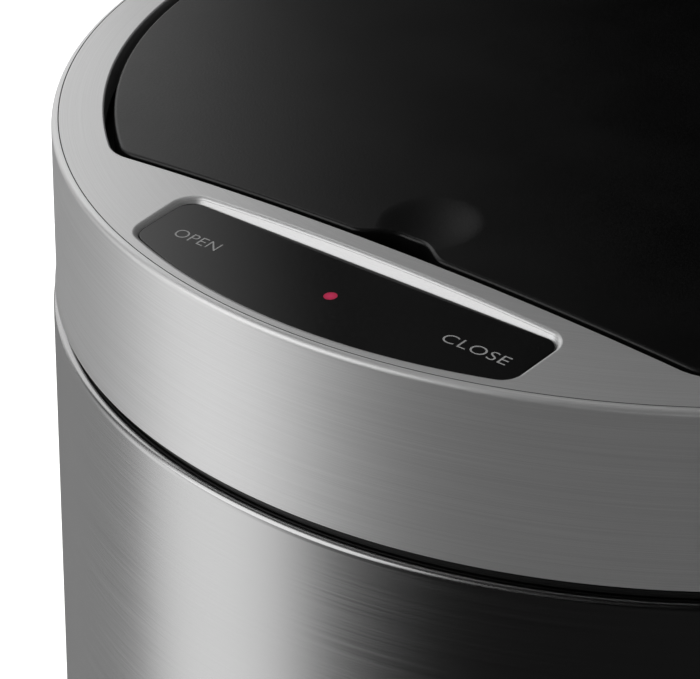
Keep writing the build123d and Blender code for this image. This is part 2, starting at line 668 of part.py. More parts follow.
def make_gear_case_right():
    """Outer side plate of the gear case, with the motor's seat."""
    plate = case_plate(PLATE_OUT_X, CASE_FEET[2:])
    far_x = PLATE_OUT_X + PLATE_T + 1
    for y, z in CASE_PILLARS:
        plate -= rod_x(PILLAR_PIN_R + PRESS_GAP, PLATE_OUT_X - 1, far_x, y, z)
    plate -= rod_x(MOTOR_BOSS_R + PRESS_GAP, PLATE_OUT_X - 1, far_x, MOTOR_Y, GEAR_Z)
    for dz in MOTOR_SCREW_DZ:
        plate -= rod_x(SCREW_R + PRESS_GAP, PLATE_OUT_X - 1, far_x, MOTOR_Y, GEAR_Z + dz)
        plate -= rod_x(SCREW_HEAD_R + 0.1, PLATE_OUT_X - 1, PLATE_OUT_X + 1.2, MOTOR_Y, GEAR_Z + dz)
    return plate


def make_motor_screws():
    """Two flat screws that hold the motor on its plate."""
    made = []
    for dz in MOTOR_SCREW_DZ:
        y, z = MOTOR_Y, GEAR_Z + dz
        head = rod_x(SCREW_HEAD_R, PLATE_OUT_X + 0.1, PLATE_OUT_X + 1.2, y, z)
        made.append(head + rod_x(SCREW_R, PLATE_OUT_X + 1, PLATE_OUT_X + PLATE_T + 4, y, z))
    return place(made)


def make_motor():
    """Small direct-current motor: round can with a front boss, a bearing bore and two lugs."""
    face_x = PLATE_OUT_X + PLATE_T
    end_x = face_x + MOTOR_L
    motor = rod_x(MOTOR_R, face_x + 0.02, end_x, MOTOR_Y, GEAR_Z)
    motor += rod_x(MOTOR_BOSS_R, PLATE_OUT_X + 0.4, face_x + 1, MOTOR_Y, GEAR_Z)
    for dy in (-6, 6):
        low = (end_x - 1, MOTOR_Y + dy - 1, GEAR_Z - 0.3)
        motor += block(low, (end_x + 4, MOTOR_Y + dy + 1, GEAR_Z + 0.3))
    motor -= rod_x(MOTOR_SHAFT_R + PIN_GAP, PLATE_OUT_X, face_x + 9, MOTOR_Y, GEAR_Z)
    for dz in MOTOR_SCREW_DZ:
        motor -= rod_x(SCREW_R + PRESS_GAP, face_x - 1, face_x + 5, MOTOR_Y, GEAR_Z + dz)
    return motor


def make_motor_shaft():
    """Motor shaft, turning in the motor's bearing."""
    return rod_x(MOTOR_SHAFT_R, WHEEL_2_X - 0.6, PLATE_OUT_X + PLATE_T + 8.5, MOTOR_Y, GEAR_Z)


def meshed_phase(teeth, other_teeth, other_phase, angle_deg):
    """Phase that sets a tooth of this gear in a gap of the other, which lies at angle_deg."""
    other_pitch = 360 / other_teeth
    facing = (angle_deg + 180 - other_phase) / other_pitch
    offset = facing - round(facing)
    own_pitch = 360 / teeth
    return angle_deg + own_pitch / 2 + offset * own_pitch


PHASE_1 = meshed_phase(PINION_TEETH, SECTOR_TEETH, 0, 90)
PHASE_2 = meshed_phase(PINION_TEETH, WHEEL_TEETH, PHASE_1, 180)
PHASE_3 = meshed_phase(PINION_TEETH, WHEEL_TEETH, PHASE_2, 180)


def compound(y, phase, pinion_x, pinion_w, wheel_x):
    """A pinion and a larger wheel on one hub."""
    bore = AXLE_R + PIN_GAP
    made = gear(PINION_TEETH, pinion_w, pinion_x, y, GEAR_Z, phase, bore)
    made += gear(WHEEL_TEETH, WHEEL_W, wheel_x, y, GEAR_Z, phase, bore)
    hub = rod_x(3.2, SECTOR_X - GEAR_SIDE_GAP + 0.2, PLATE_OUT_X - 0.2, y, GEAR_Z)
    made += hub - rod_x(bore, SECTOR_X - 5, PLATE_OUT_X + 5, y, GEAR_Z)
    return made


def make_gear_1():
    """First compound gear: its pinion drives the lid's sector."""
    return compound(HINGE_Y, PHASE_1, SECTOR_X, SECTOR_W, WHEEL_1_X)


def make_gear_2():
    """Second compound gear, between the motor and the first."""
    return compound(GEAR_2_Y, PHASE_2, WHEEL_1_X, WHEEL_W, WHEEL_2_X)


def make_motor_pinion():
    """Pinion pressed on the motor shaft."""
    bore = MOTOR_SHAFT_R + PRESS_GAP
    return gear(PINION_TEETH, WHEEL_W, WHEEL_2_X, MOTOR_Y, GEAR_Z, PHASE_3, bore)


def make_gear_axles():
    """Two steel axles held in the gear case's plates."""
    ends = (PLATE_IN_X + 0.1, PLATE_OUT_X + PLATE_T - 0.1)
    return place([rod_x(AXLE_R, ends[0], ends[1], y, GEAR_Z) for y in (HINGE_Y, GEAR_2_Y)])


def make_battery_box():
    """Open-backed battery box with a shelf between its two rows."""
    top_z = CELL_Z + CELL_ROW + CELL_R + 0.1
    room = Circle(SKIRT_R - SKIRT_T - SEAT_GAP)
    outer = block((-BOX_HALF_W, BOX_FRONT_Y, PLATE_Z), (BOX_HALF_W, HEAD_R, top_z + BOX_T))
    in_half = BOX_HALF_W - BOX_T
    inner = block((-in_half, BOX_FRONT_Y + BOX_T, PLATE_Z + BOX_T), (in_half, HEAD_R + 1, top_z))
    shelf_z = CELL_Z + CELL_R + 0.1
    shelf = block(
        (-BOX_HALF_W + 1, BOX_FRONT_Y + 1, shelf_z),
        (BOX_HALF_W - 1, CELL_Y + CELL_R, shelf_z + 1.2),
    )
    return (outer - inner + shelf) & prism(room, COVER_Z, HIGH_Z)


def cell(low_x, z):
    """One AA cell along +X."""
    return rod_x(CELL_R, low_x, low_x + CELL_L, CELL_Y, z) + rod_x(
        CELL_NUB_R, low_x + CELL_L - 1, low_x + CELL_L + CELL_NUB_L, CELL_Y, z
    )


def make_batteries():
    """Four AA cells in two rows of two."""
    low_x = -CELL_L - CELL_NUB_L
    cells = []
    for z in (CELL_Z, CELL_Z + CELL_ROW):
        cells += [cell(low_x, z), cell(0.02, z)]
    return place(cells)


def make_battery_contacts():
    """Metal contact plates at the ends of the two rows."""
    plates = []
    for z in (CELL_Z, CELL_Z + CELL_ROW):
        for side in (1, -1):
            inner = CELL_L + CELL_NUB_L + 0.04
            outer = BOX_HALF_W - BOX_T - 0.04
            ends = sorted((side * (outer - 0.4), side * outer))
            plate = block((ends[0], CELL_Y - 5, z - 5), (ends[1], CELL_Y + 6, z + 5))
            bump = sorted((side * inner, side * (outer - 0.2)))
            plates.append(plate + rod_x(2.4, bump[0], bump[1], CELL_Y, z))
    return place(plates)


def make_battery_door():
    """Curved door in the band: a thin rim that lies on the skirt and a plug inside it."""
    skin = tube(HEAD_R, SKIRT_R + SEAT_GAP, DOOR_Z - 5, DOOR_Z + DOOR_H + 5) & door_cut(-SLIDE_GAP)
    plug = tube(SKIRT_R + SEAT_GAP + 0.2, SKIRT_R - SKIRT_T, DOOR_Z, DOOR_Z + DOOR_H)
    door = skin + (plug & door_cut(-3 - SLIDE_GAP))
    for dz in (-4, 0, 4):
        z = DOOR_Z + DOOR_H / 2 + dz
        door -= block((-12, HEAD_R - 0.6, z - 0.7), (12, HEAD_R + 1, z + 0.7))
    return door


def make_switch_body():
    """Housing of the power switch, pushed in from outside."""
    half_w, half_h = SWITCH_W / 2 - 0.1, SWITCH_H / 2 - 0.1
    low = (-half_w, HEAD_R - SWITCH_DEPTH, SWITCH_Z - half_h)
    body = block(low, (half_w, HEAD_R - 0.6, SWITCH_Z + half_h))
    body -= block(
        (-half_w + 2, HEAD_R - 8.5, SWITCH_Z - half_h + 2),
        (half_w - 2, HEAD_R + 5, SWITCH_Z + half_h - 2),
    )
    for dx in (-5, 0, 5):
        y = HEAD_R - SWITCH_DEPTH
        body += block((dx - 1, y - 5, SWITCH_Z - 2), (dx + 1, y + 1, SWITCH_Z - 1.4))
    body -= Pos(0, HEAD_R - 4, SWITCH_Z) * Cylinder(1 + PIN_GAP, SWITCH_H - 2)
    return at_switch(body)


def make_power_rocker():
    """Rocker of the power switch, tipping on a short upright pin."""
    half_w = SWITCH_W / 2 - 0.1 - 2 - 0.5
    half_h = SWITCH_H / 2 - 0.1 - 2 - 0.25
    high_y = HEAD_R - 0.2
    points = [(-half_w, high_y), (0, high_y - 1.6), (half_w, high_y), (half_w - 0.9, high_y - 4.2)]
    points += [(0, high_y - 6.2), (-half_w + 0.9, high_y - 4.2)]
    face = make_face(Polyline(*points, close=True))
    rocker = prism(face, SWITCH_Z - half_h, SWITCH_Z + half_h)
    rocker += Pos(0, HEAD_R - 4, SWITCH_Z) * Cylinder(1, SWITCH_H - 2.4)
    return at_switch(rocker)


def make_touch_panel():
    """Glossy flat touch panel in the collar's pan, with a hole for the light."""
    panel = extrude(panel_plane(PANEL_T) * panel_outline(0), PANEL_T)
    hole = Pos(0, LED_Y - PANEL_BACK_Y, 0) * Cylinder(LED_R + 0.05, 20)
    return panel - panel_plane(0) * hole


def at_panel(x, y, depth, height, shape):
    """Places a shape of the given height, its low end at a depth below the panel's face."""
    return panel_plane(depth) * (Pos(x, y - PANEL_BACK_Y, height / 2) * shape)


def make_light_pipe():
    """Clear light pipe of the indicator."""
    pipe = at_panel(0, LED_Y, 5.6, 5.6, Cylinder(LED_R, 5.6))
    return pipe + at_panel(0, LED_Y, PANEL_T + 1.05, 1, Cylinder(LED_R + 1.4, 1))


def make_touch_board():
    """Circuit board under the pan."""
    face = Pos(0, -BOARD_SETBACK) * Rectangle(BOARD_L, BOARD_W)
    board = extrude(panel_plane(PCB_DEPTH + BOARD_T) * face, BOARD_T)
    for x in BOARD_SCREW_X:
        board -= panel_plane(PCB_DEPTH) * (Pos(x, -BOARD_SCREW_SETBACK, 0) * Cylinder(SCREW_R + 0.1, 9))
    return board


def make_board_parts():
    """Chips on the board: light, controller, capacitor and cable plug."""
    low = PCB_DEPTH + BOARD_T
    y = PANEL_BACK_Y - BOARD_SETBACK
    made = [at_panel(0, LED_Y, PCB_DEPTH, 0.8, Box(2.4, 2.4, 0.8))]
    made.append(at_panel(-8, y, low + 1.4, 1.4, Box(10, 10, 1.4)))
    made.append(at_panel(14, y, low + 3.5, 3.5, Cylinder(2.5, 3.5)))
    made.append(at_panel(48, y, low + 2.2, 2.2, Box(8, 8, 2.2)))
    return place(made)


def make_touch_pads():
    """Springy foam pads that carry the touch sensing up to the panel."""
    height = PCB_DEPTH - PANEL_T - 0.1
    y = PANEL_BACK_Y - BOARD_SETBACK - 0.6
    pads = [at_panel(x, y, PCB_DEPTH - 0.05, height, Box(12, 9, height)) for x in (-46, 46)]
    return place(pads)


def make_board_screws():
    """Two screws that hold the board on the frame's posts."""
    made = []
    for x in BOARD_SCREW_X:
        screw_up = screw(BOARD_SCREW_L, head_down=False)
        made.append(panel_plane(PCB_DEPTH) * (Pos(x, -BOARD_SCREW_SETBACK, 0) * screw_up))
    return place(made)


def make_wire_loom():
    """Wires: board to motor round the right side, box to motor, and box to switch."""
    y, z = PANEL_BACK_Y - BOARD_SETBACK, RIM_Z - 12
    main = [(48, y, z), (57, y + 0.1, z + 0.6), (66, y + 0.9, z + 1), (80, y + 3.9, z + 0.6)]
    x, y = LOOM_HOLE
    z = RIM_Z - 30
    main += [(x, y, z + 14), (x + 5, y + 4, z + 9)]
    for turn, rise in ((-40, 2), (-20, 0), (0, 0), (20, 0), (36, 0), (46, 0)):
        angle = radians(turn)
        main.append((LOOM_CIRCLE_R * cos(angle), LOOM_CIRCLE_R * sin(angle), z + rise))
    end_x = PLATE_OUT_X + PLATE_T + MOTOR_L + 5.4
    main += [(end_x + 9, MOTOR_Y - 7, z + 0.5), (end_x, MOTOR_Y - 6, GEAR_Z)]
    side = BOX_HALF_W + LOOM_R + 0.1
    y = BOX_FRONT_Y + 7
    short = [(end_x, MOTOR_Y + 6, GEAR_Z), (end_x - 2, y - 3, z + 3.5), (end_x - 14, y, z + 4)]
    short += [(side + 14, y, z + 4), (side, y + 1, z + 4)]
    switch_angle = radians(90 + SWITCH_ANGLE)
    lug_r = HEAD_R - SWITCH_DEPTH - 6.0
    left = [(-side + 0.1, y + 1, z), (-side - 6, y - 1, z - 2)]
    left.append((lug_r * cos(switch_angle), lug_r * sin(switch_angle), SWITCH_Z - 1.7))
    made = []
    for points, radius in ((main, LOOM_R), (short, LOOM_R), (left, 1.2)):
        path = Spline(*points)
        made.append(sweep(Plane(origin=path @ 0, z_dir=path % 0) * Circle(radius), path=path))
    return place(made)


def make_rim_ring():
    """Black ring in the body's mouth; its edge shows as a thin line in the reveal."""
    low_z = BODY_TOP_Z + SEAT_GAP
    ring = tube(RIM_STEP_R, RIM_RING_IN_R, low_z, RIM_LINE_Z + 0.1)
    ring += tube(RIM_LINE_R, RIM_RING_IN_R, RIM_LINE_Z, RIM_LINE_Z + RIM_LINE_T)
    skirt_r = BODY_R - 2 * ROLL_R - SEAT_GAP
    return ring + tube(skirt_r, skirt_r - RIM_SKIRT_T, BODY_TOP_Z - RIM_SKIRT_H, low_z + 0.5)


def make_bag_ring():
    """Loose ring that clamps the bag over the rim ring."""
    low_z = RIM_LINE_Z + RIM_LINE_T + SEAT_GAP
    in_r = RIM_RING_IN_R - SLIDE_GAP - 2
    ring = tube(BAG_RING_R, in_r, low_z, low_z + BAG_RING_T)
    return ring + tube(in_r + 2, in_r, low_z - BAG_SKIRT_H, low_z + 0.5)


def make_body_shell():
    """Rolled steel wall with its rolled mouth edge."""
    low_z = BASE_Z + BASE_FLOOR_T + SEAT_GAP
    roll_z = BODY_TOP_Z - ROLL_R
    wall = tube(BODY_R, BODY_R - SHELL_T, low_z, roll_z)
    roll = Pos(BODY_R - ROLL_R, roll_z) * (Circle(ROLL_R) - Circle(ROLL_R - SHELL_T))
    roll &= Pos(BODY_R - ROLL_R, roll_z + 5) * Rectangle(20, 10 + 1.2)
    return wall + turned(roll)


def make_base_tray():
    """Black base: floor, a ring outside the wall and an upstand inside it."""
    floor_z = BASE_Z + BASE_FLOOR_T
    base = prism(Circle(BASE_R), BASE_Z, floor_z)
    base += tube(BASE_R, BODY_R + SEAT_GAP, BASE_Z, BASE_RING_TOP_Z)
    up_r = BODY_R - SHELL_T - SEAT_GAP
    base += tube(up_r, up_r - 2, BASE_Z, floor_z + BASE_UPSTAND_H)
    top_edge = base.edges().filter_by(GeomType.CIRCLE).filter_by(lambda e: e.radius > BASE_R - 0.01)
    base = chamfer(top_edge.sort_by(Axis.Z)[-1], 0.8)
    for x, y in foot_places():
        base -= Pos(x, y, BASE_Z) * Cylinder(FOOT_STUD_R + PRESS_GAP, 20)
    return base


def foot_places():
    """Where the rubber feet sit under the base."""
    return ring_places(FOOT_CIRCLE_R, [90 + 360 * i / FOOT_COUNT for i in range(FOOT_COUNT)])


def make_feet():
    """Rubber feet with studs in the base floor."""
    feet = []
    stud = prism(Circle(FOOT_STUD_R), FOOT_H - 1, FOOT_H + BASE_FLOOR_T - SEAT_GAP)
    for x, y in foot_places():
        foot = fillet(Cylinder(FOOT_R, FOOT_H).edges().sort_by(Axis.Z)[0], 0.8)
        feet.append(Pos(x, y) * (Pos(0, 0, FOOT_H / 2) * foot + stud))
    return place(feet)


NODES = {
    "body_shell": make_body_shell,
    "base_tray": make_base_tray,
    "rubber_feet": make_feet,
    "rim_ring": make_rim_ring,
    "bag_ring": make_bag_ring,
    "collar_shell": make_collar_shell,
    "collar_frame": make_collar_frame,
    "bay_cover": make_bay_cover,
    "cover_screws": make_cover_screws,
    "touch_panel": make_touch_panel,
    "light_pipe": make_light_pipe,
    "touch_board": make_touch_board,
    "board_parts": make_board_parts,
    "touch_pads": make_touch_pads,
    "board_screws": make_board_screws,
    "lid_panel": make_lid_panel,
    "lid_liner": make_lid_liner,
    "lid_gear": make_lid_gear,
    "lid_bumpers": make_lid_bumpers,
    "lid_screws": make_lid_screws,
    "hinge_pins": make_hinge_pins,
    "gear_case_left": make_gear_case_left,
    "gear_case_right": make_gear_case_right,
    "gear_axles": make_gear_axles,
    "gear_1": make_gear_1,
    "gear_2": make_gear_2,
    "motor": make_motor,
    "motor_shaft": make_motor_shaft,
    "motor_pinion": make_motor_pinion,
    "motor_screws": make_motor_screws,
    "battery_box": make_battery_box,
    "batteries": make_batteries,
    "battery_contacts": make_battery_contacts,
    "battery_door": make_battery_door,
    "switch_body": make_switch_body,
    "power_rocker": make_power_rocker,
    "wire_loom": make_wire_loom,
}


def main():
    """Builds every sub-part and writes it."""
    os.makedirs("parts", exist_ok=True)
    for name, make in NODES.items():
        save(name, make())


if __name__ == "__main__":
    main()
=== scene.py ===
"""Looks for a round touch top trash can: brushed steel, a black lid and a glossy touch panel."""

import json
import logging
import math
from dataclasses import dataclass, field
from enum import Enum
from typing import Callable, Sequence

import bpy
from mathutils import Matrix, Vector
from mathutils.geometry import delaunay_2d_cdt

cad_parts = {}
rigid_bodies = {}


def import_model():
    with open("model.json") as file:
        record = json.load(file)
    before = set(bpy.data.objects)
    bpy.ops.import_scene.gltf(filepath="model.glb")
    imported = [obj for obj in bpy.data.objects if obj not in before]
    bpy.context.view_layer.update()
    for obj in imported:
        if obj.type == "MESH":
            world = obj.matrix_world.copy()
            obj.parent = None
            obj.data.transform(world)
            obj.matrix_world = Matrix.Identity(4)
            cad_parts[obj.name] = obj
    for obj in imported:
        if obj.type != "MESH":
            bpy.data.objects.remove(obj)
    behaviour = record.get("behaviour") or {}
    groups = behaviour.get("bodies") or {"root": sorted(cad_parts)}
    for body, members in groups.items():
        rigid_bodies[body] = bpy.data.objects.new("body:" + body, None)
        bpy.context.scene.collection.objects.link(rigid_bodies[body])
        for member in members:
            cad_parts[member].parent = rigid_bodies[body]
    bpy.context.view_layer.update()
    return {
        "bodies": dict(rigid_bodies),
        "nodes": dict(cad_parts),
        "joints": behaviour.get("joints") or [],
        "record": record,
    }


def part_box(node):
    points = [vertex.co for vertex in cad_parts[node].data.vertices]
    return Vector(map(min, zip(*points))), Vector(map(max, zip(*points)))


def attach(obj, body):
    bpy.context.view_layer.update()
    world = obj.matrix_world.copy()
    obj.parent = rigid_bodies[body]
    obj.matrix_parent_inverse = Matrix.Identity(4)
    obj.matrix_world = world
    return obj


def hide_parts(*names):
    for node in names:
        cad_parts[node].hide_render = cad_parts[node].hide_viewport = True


LOG = logging.getLogger("trash_can")
MM = 0.001
BAND_H = 50.0 * MM
DOWN = Vector((0, 0, -1))

Socket = bpy.types.NodeSocket
Material = bpy.types.Material
Piece = bpy.types.Object
Point = tuple[float, float]
Place = tuple[float, float, float]
Tone = tuple[float, float, float]
Corner = tuple[Vector, Vector]
Bend = tuple[float, float, float]
Height = Callable[[float, float], float]
Lift = Callable[[float, float], Corner]
Over = Callable[[Point, Point], Corner]
Keep = Callable[[Vector], bool]


class Sheen(Enum):
    """Which shader family a finish belongs to."""

    METAL = "metal"
    PLASTIC = "plastic"


class NodeGraph:
    """Small helper that adds and joins shader nodes of one material or world."""

    def __init__(self, holder: Material | bpy.types.World, shader: str) -> None:
        """Starts the node tree.

        Args:
            holder: The new material or world.
            shader: The name of its first shader node.
        """
        holder.use_nodes = True
        self.tree = holder.node_tree
        self.shader = self.tree.nodes[shader]

    def add(self, kind: str, inputs: dict, **settings: object) -> bpy.types.Node:
        """Adds a node.

        Args:
            kind: The node's type name without its ShaderNode prefix.
            inputs: What its inputs get, by name or place: another socket or a plain value.
            **settings: Attributes of the node.

        Returns:
            The new node.
        """
        node = self.tree.nodes.new("ShaderNode" + kind)
        for key, value in settings.items():
            setattr(node, key, value)
        self.fill(node, inputs)
        return node

    def fill(self, node: bpy.types.Node, inputs: dict) -> None:
        """Gives inputs of a node what they get.

        Args:
            node: The node.
            inputs: By name or place: another socket or a plain value.
        """
        for key, value in inputs.items():
            if isinstance(value, Socket):
                self.tree.links.new(value, node.inputs[key])
            else:
                node.inputs[key].default_value = value

    def math(self, operation: str, first: object, second: object = 0.0) -> Socket:
        """Works on one or two values, each a socket or a number."""
        return self.add("Math", {0: first, 1: second}, operation=operation).outputs[0]

    def vector(self, operation: str, first: object, second: object = (0, 0, 0)) -> bpy.types.Node:
        """Works on one or two vectors, each a socket or a plain vector, and gives the node."""
        return self.add("VectorMath", {0: first, 1: second}, operation=operation)

    def parts(self, vector: Socket) -> Sequence[Socket]:
        """The three parts of a vector."""
        return self.add("SeparateXYZ", {0: vector}).outputs

    def noise(self, vector: Socket, scale: float, detail: float = 3.0) -> Socket:
        """A noise over a vector, mostly between 0.3 and 0.7."""
        return self.add("TexNoise", {"Vector": vector, "Scale": scale, "Detail": detail}).outputs["Fac"]

    def mixed(self, first: Socket, second: Socket, share: float) -> Socket:
        """Adds two values up, the second one with its share and the first with the rest."""
        kept = self.math("MULTIPLY", first, 1 - share)
        return self.math("ADD", kept, self.math("MULTIPLY", second, share))

    def spread(
        self, value: Socket, low: float, high: float, span: Point = (0.3, 0.7), smooth: bool = False
    ) -> Socket:
        """Maps a value onto a range.

        Args:
            value: The value.
            low: The result at the span's start.
            high: The result at the span's end.
            span: The value's own range, by default that of a noise.
            smooth: Whether the ends are eased.

        Returns:
            The mapped value.
        """
        inputs = {"Value": value, "To Min": low, "To Max": high, "From Min": span[0], "From Max": span[1]}
        easing = "SMOOTHSTEP" if smooth else "LINEAR"
        return self.add("MapRange", inputs, interpolation_type=easing).outputs["Result"]

    def ramp(
        self, value: Socket, stops: Sequence[tuple[float, Tone]], easing: str = "LINEAR"
    ) -> Socket:
        """Turns a value into a tone.

        Args:
            value: The value.
            stops: Places along the ramp with their tones.
            easing: How the tones run between the stops.

        Returns:
            The tone.
        """
        node = self.add("ValToRGB", {"Fac": value})
        node.color_ramp.interpolation = easing
        elements = node.color_ramp.elements
        while len(elements) < len(stops):
            elements.new(0.5)
        for element, (at, tone) in zip(elements, stops):
            element.position = at
            element.color = (*tone, 1)
        return node.outputs["Color"]

    def blend(self, value: Socket, first: Tone, second: Tone) -> None:
        """Colours the surface between two tones by a noise value."""
        self.fill(self.shader, {"Base Color": self.ramp(value, ((0.35, first), (0.65, second)))})

    def bump(self, value: Socket, strength: float, distance: float) -> None:
        """Adds relief of a strength and a depth in metres."""
        node = self.add("Bump", {"Strength": strength, "Distance": distance, "Height": value})
        self.fill(self.shader, {"Normal": node.outputs["Normal"]})

    def place(self) -> Socket:
        """A point's place on the object, in metres."""
        return self.add("TexCoord", {}).outputs["Object"]


def new_surface(name: str) -> tuple[Material, NodeGraph]:
    """Makes a material with its node graph."""
    material = bpy.data.materials.new(name)
    return material, NodeGraph(material, "Principled BSDF")


def grey(level: float) -> Tone:
    """A neutral tone."""
    return (level, level, level)


def put(name: str, data: bpy.types.ID) -> Piece:
    """Puts a new object into the scene.

    Args:
        name: Its name.
        data: Its mesh, light, camera or text.

    Returns:
        The object.
    """
    made = bpy.data.objects.new(name, data)
    bpy.context.scene.collection.objects.link(made)
    return made


def put_sheet(name: str, corners: Sequence[Sequence[float]], material: Material) -> Piece:
    """Puts a flat piece with four corners into the scene.

    Args:
        name: Its name.
        corners: Its corners in order.
        material: Its material.

    Returns:
        The piece.
    """
    mesh = bpy.data.meshes.new(name)
    mesh.from_pydata([corner[:] for corner in corners], [], [(0, 1, 2, 3)])
    mesh.materials.append(material)
    return put(name, mesh)


@dataclass(frozen=True)
class BrushedSteel:
    """Satin steel with fine brush lines that run round the can's axis; lengths in metres."""

    name: str
    tone: float
    roughness: float
    anisotropy: float
    lines_per_metre: float = 5200.0
    relief: float = 0.05
    metal: float = 1.0
    lines_per_radian: float = 3.0
    cloud_scale: float = 14.0
    cloud_share: float = 0.2
    tone_span: Point = (0.94, 1.04)
    rough_span: Point = (-0.05, 0.06)
    depth: float = 0.04 * MM

    def build(self) -> Material:
        """Makes the material.

        Returns:
            The material.
        """
        material, graph = new_surface(self.name)
        across, along, up = graph.parts(graph.place())
        angle = graph.math("ARCTAN2", across, graph.math("MULTIPLY", along, -1.0))
        square = graph.math("MULTIPLY", across, across)
        radius = graph.math("SQRT", graph.math("ADD", square, graph.math("MULTIPLY", along, along)))
        scales = (self.lines_per_radian, self.lines_per_metre, self.lines_per_metre)
        scaled = [graph.math("MULTIPLY", *pair) for pair in zip((angle, radius, up), scales)]
        vector = graph.add("CombineXYZ", dict(enumerate(scaled)))
        lines = graph.noise(vector.outputs[0], 1.0, 4.0)
        clouds = graph.noise(graph.place(), self.cloud_scale, 2.0)
        graph.blend(lines, *(grey(self.tone * share) for share in self.tone_span))
        mixed = graph.mixed(lines, clouds, self.cloud_share)
        rough = graph.spread(mixed, *(self.roughness + change for change in self.rough_span))
        graph.bump(lines, self.relief, self.depth)
        tangent = graph.add("Tangent", {}, direction_type="RADIAL", axis="Z").outputs[0]
        graph.fill(graph.shader, {"Roughness": rough, "Metallic": self.metal})
        graph.fill(graph.shader, {"Anisotropic": self.anisotropy, "Tangent": tangent})
        return material


@dataclass(frozen=True)
class Finish:
    """A moulded, cast or machined finish with two close tones and fine relief; lengths in metres."""

    name: str
    dark: Tone
    light: Tone
    roughness: float
    sheen: Sheen = Sheen.PLASTIC
    grain_per_metre: float = 900.0
    relief: float = 0.15
    depth: float = 0.08 * MM
    coat: float = 0.0
    cloud_scale: float = 30.0
    cloud_share: float = 0.4
    rough_span: float = 0.05

    def build(self) -> Material:
        """Makes the material.

        Returns:
            The material.
        """
        material, graph = new_surface(self.name)
        place = graph.place()
        grain = graph.noise(place, self.grain_per_metre)
        mixed = graph.mixed(grain, graph.noise(place, self.cloud_scale, 2.0), self.cloud_share)
        graph.blend(mixed, self.dark, self.light)
        rough = graph.spread(mixed, self.roughness - self.rough_span, self.roughness + self.rough_span)
        graph.bump(grain, self.relief, self.depth)
        metal = 1.0 if self.sheen is Sheen.METAL else 0.0
        graph.fill(graph.shader, {"Roughness": rough, "Metallic": metal, "Coat Weight": self.coat})
        return material


@dataclass(frozen=True)
class LitRed:
    """Clear red plastic lit from behind, brighter at its middle; lengths in metres."""

    name: str = "lit_red"
    middle: Place = (0.0, -0.1546, 0.6384)
    colour: Tone = (0.5, 0.03, 0.13)
    body: Tone = (0.2, 0.01, 0.02)
    strength: float = 0.5
    edge_share: float = 0.35
    reach: float = 2.1 * MM
    roughness: float = 0.2

    def build(self) -> Material:
        """Makes the material.

        Returns:
            The material.
        """
        material, graph = new_surface(self.name)
        distance = graph.vector("DISTANCE", graph.place(), self.middle).outputs["Value"]
        light = graph.spread(distance, self.strength, self.strength * self.edge_share, (0, self.reach))
        graph.fill(graph.shader, {"Emission Strength": light, "Emission Color": (*self.colour, 1)})
        graph.fill(graph.shader, {"Base Color": (*self.body, 1), "Roughness": self.roughness})
        return material


@dataclass
class Patchwork:
    """A mesh made of smooth patches whose normals are known exactly; lengths in metres."""

    name: str
    margin: float = 0.6 * MM
    weld: float = 1e-7
    points: list[Vector] = field(default_factory=list)
    normals: list[Vector] = field(default_factory=list)
    faces: list[tuple[int, ...]] = field(default_factory=list)

    def add(self, corner: Corner) -> int:
        """Adds a point with its normal.

        Args:
            corner: The point and the normal.

        Returns:
            Its index.
        """
        self.points.append(corner[0])
        self.normals.append(corner[1])
        return len(self.points) - 1

    def face(self, indices: Sequence[int]) -> None:
        """Adds a face, turned to agree with its points' normals.

        Args:
            indices: Indices of the face's points in order.
        """
        a, b, c = (self.points[i] for i in (indices[0], indices[1], indices[-1]))
        across = (b - a).cross(c - a)
        facing = sum((self.normals[i] for i in indices), Vector())
        order = tuple(indices) if across.dot(facing) > 0 else tuple(reversed(indices))
        self.faces.append(order)

    def grid(
        self, rows: Sequence[Sequence[Corner]], closed: bool = True, keep: Keep | None = None
    ) -> None:
        """Adds quads between rows of points.

        Args:
            rows: The rows, all of one length.
            closed: Whether each row's end joins its start.
            keep: Tells from a quad's middle whether it is wanted.
        """
        made = [[self.add(corner) for corner in row] for row in rows]
        count = len(rows[0])
        for low, high in zip(made, made[1:]):
            for i in range(count if closed else count - 1):
                j = (i + 1) % count
                quad = (low[i], low[j], high[j], high[i])
                middle = sum((self.points[k] for k in quad), Vector()) / 4
                if keep is None or keep(middle):
                    self.face(quad)

    def cap(
        self, outer: Sequence[Point], holes: Sequence[Sequence[Point]], inside: Sequence[Point], lift: Lift
    ) -> None:
        """Fills the room between flat loops with triangles and lifts them onto a surface.

        Args:
            outer: The outer loop.
            holes: Loops that stay open.
            inside: Loose points that refine the surface.
            lift: Gives the point and normal over a flat place.
        """
        flat: list[Vector] = []
        edges = []
        for loop in (outer, *holes):
            start, count = len(flat), len(loop)
            edges += [(start + i, start + (i + 1) % count) for i in range(count)]
            flat += [Vector(p) for p in loop]
        for p in inside:
            if is_inside(p, outer, self.margin) and not any(is_inside(p, h, -self.margin) for h in holes):
                flat.append(Vector(p))
        done = delaunay_2d_cdt(flat, edges, [], 0, self.weld)
        index = [self.add(lift(p.x, p.y)) for p in done[0]]
        for triangle in done[2]:
            middle = sum((done[0][i] for i in triangle), Vector((0, 0))) / 3
            place = (middle.x, middle.y)
            if is_inside(place, outer) and not any(is_inside(place, hole) for hole in holes):
                self.face([index[i] for i in triangle])

    def build(self, material: Material) -> Piece:
        """Makes the object.

        Args:
            material: The finish of the whole piece.

        Returns:
            The new object, in the scene.
        """
        mesh = bpy.data.meshes.new(self.name)
        mesh.from_pydata([p[:] for p in self.points], [], self.faces)
        mesh.polygons.foreach_set("use_smooth", [True] * len(mesh.polygons))
        mesh.normals_split_custom_set_from_vertices([n.normalized()[:] for n in self.normals])
        mesh.materials.append(material)
        return put(self.name, mesh)


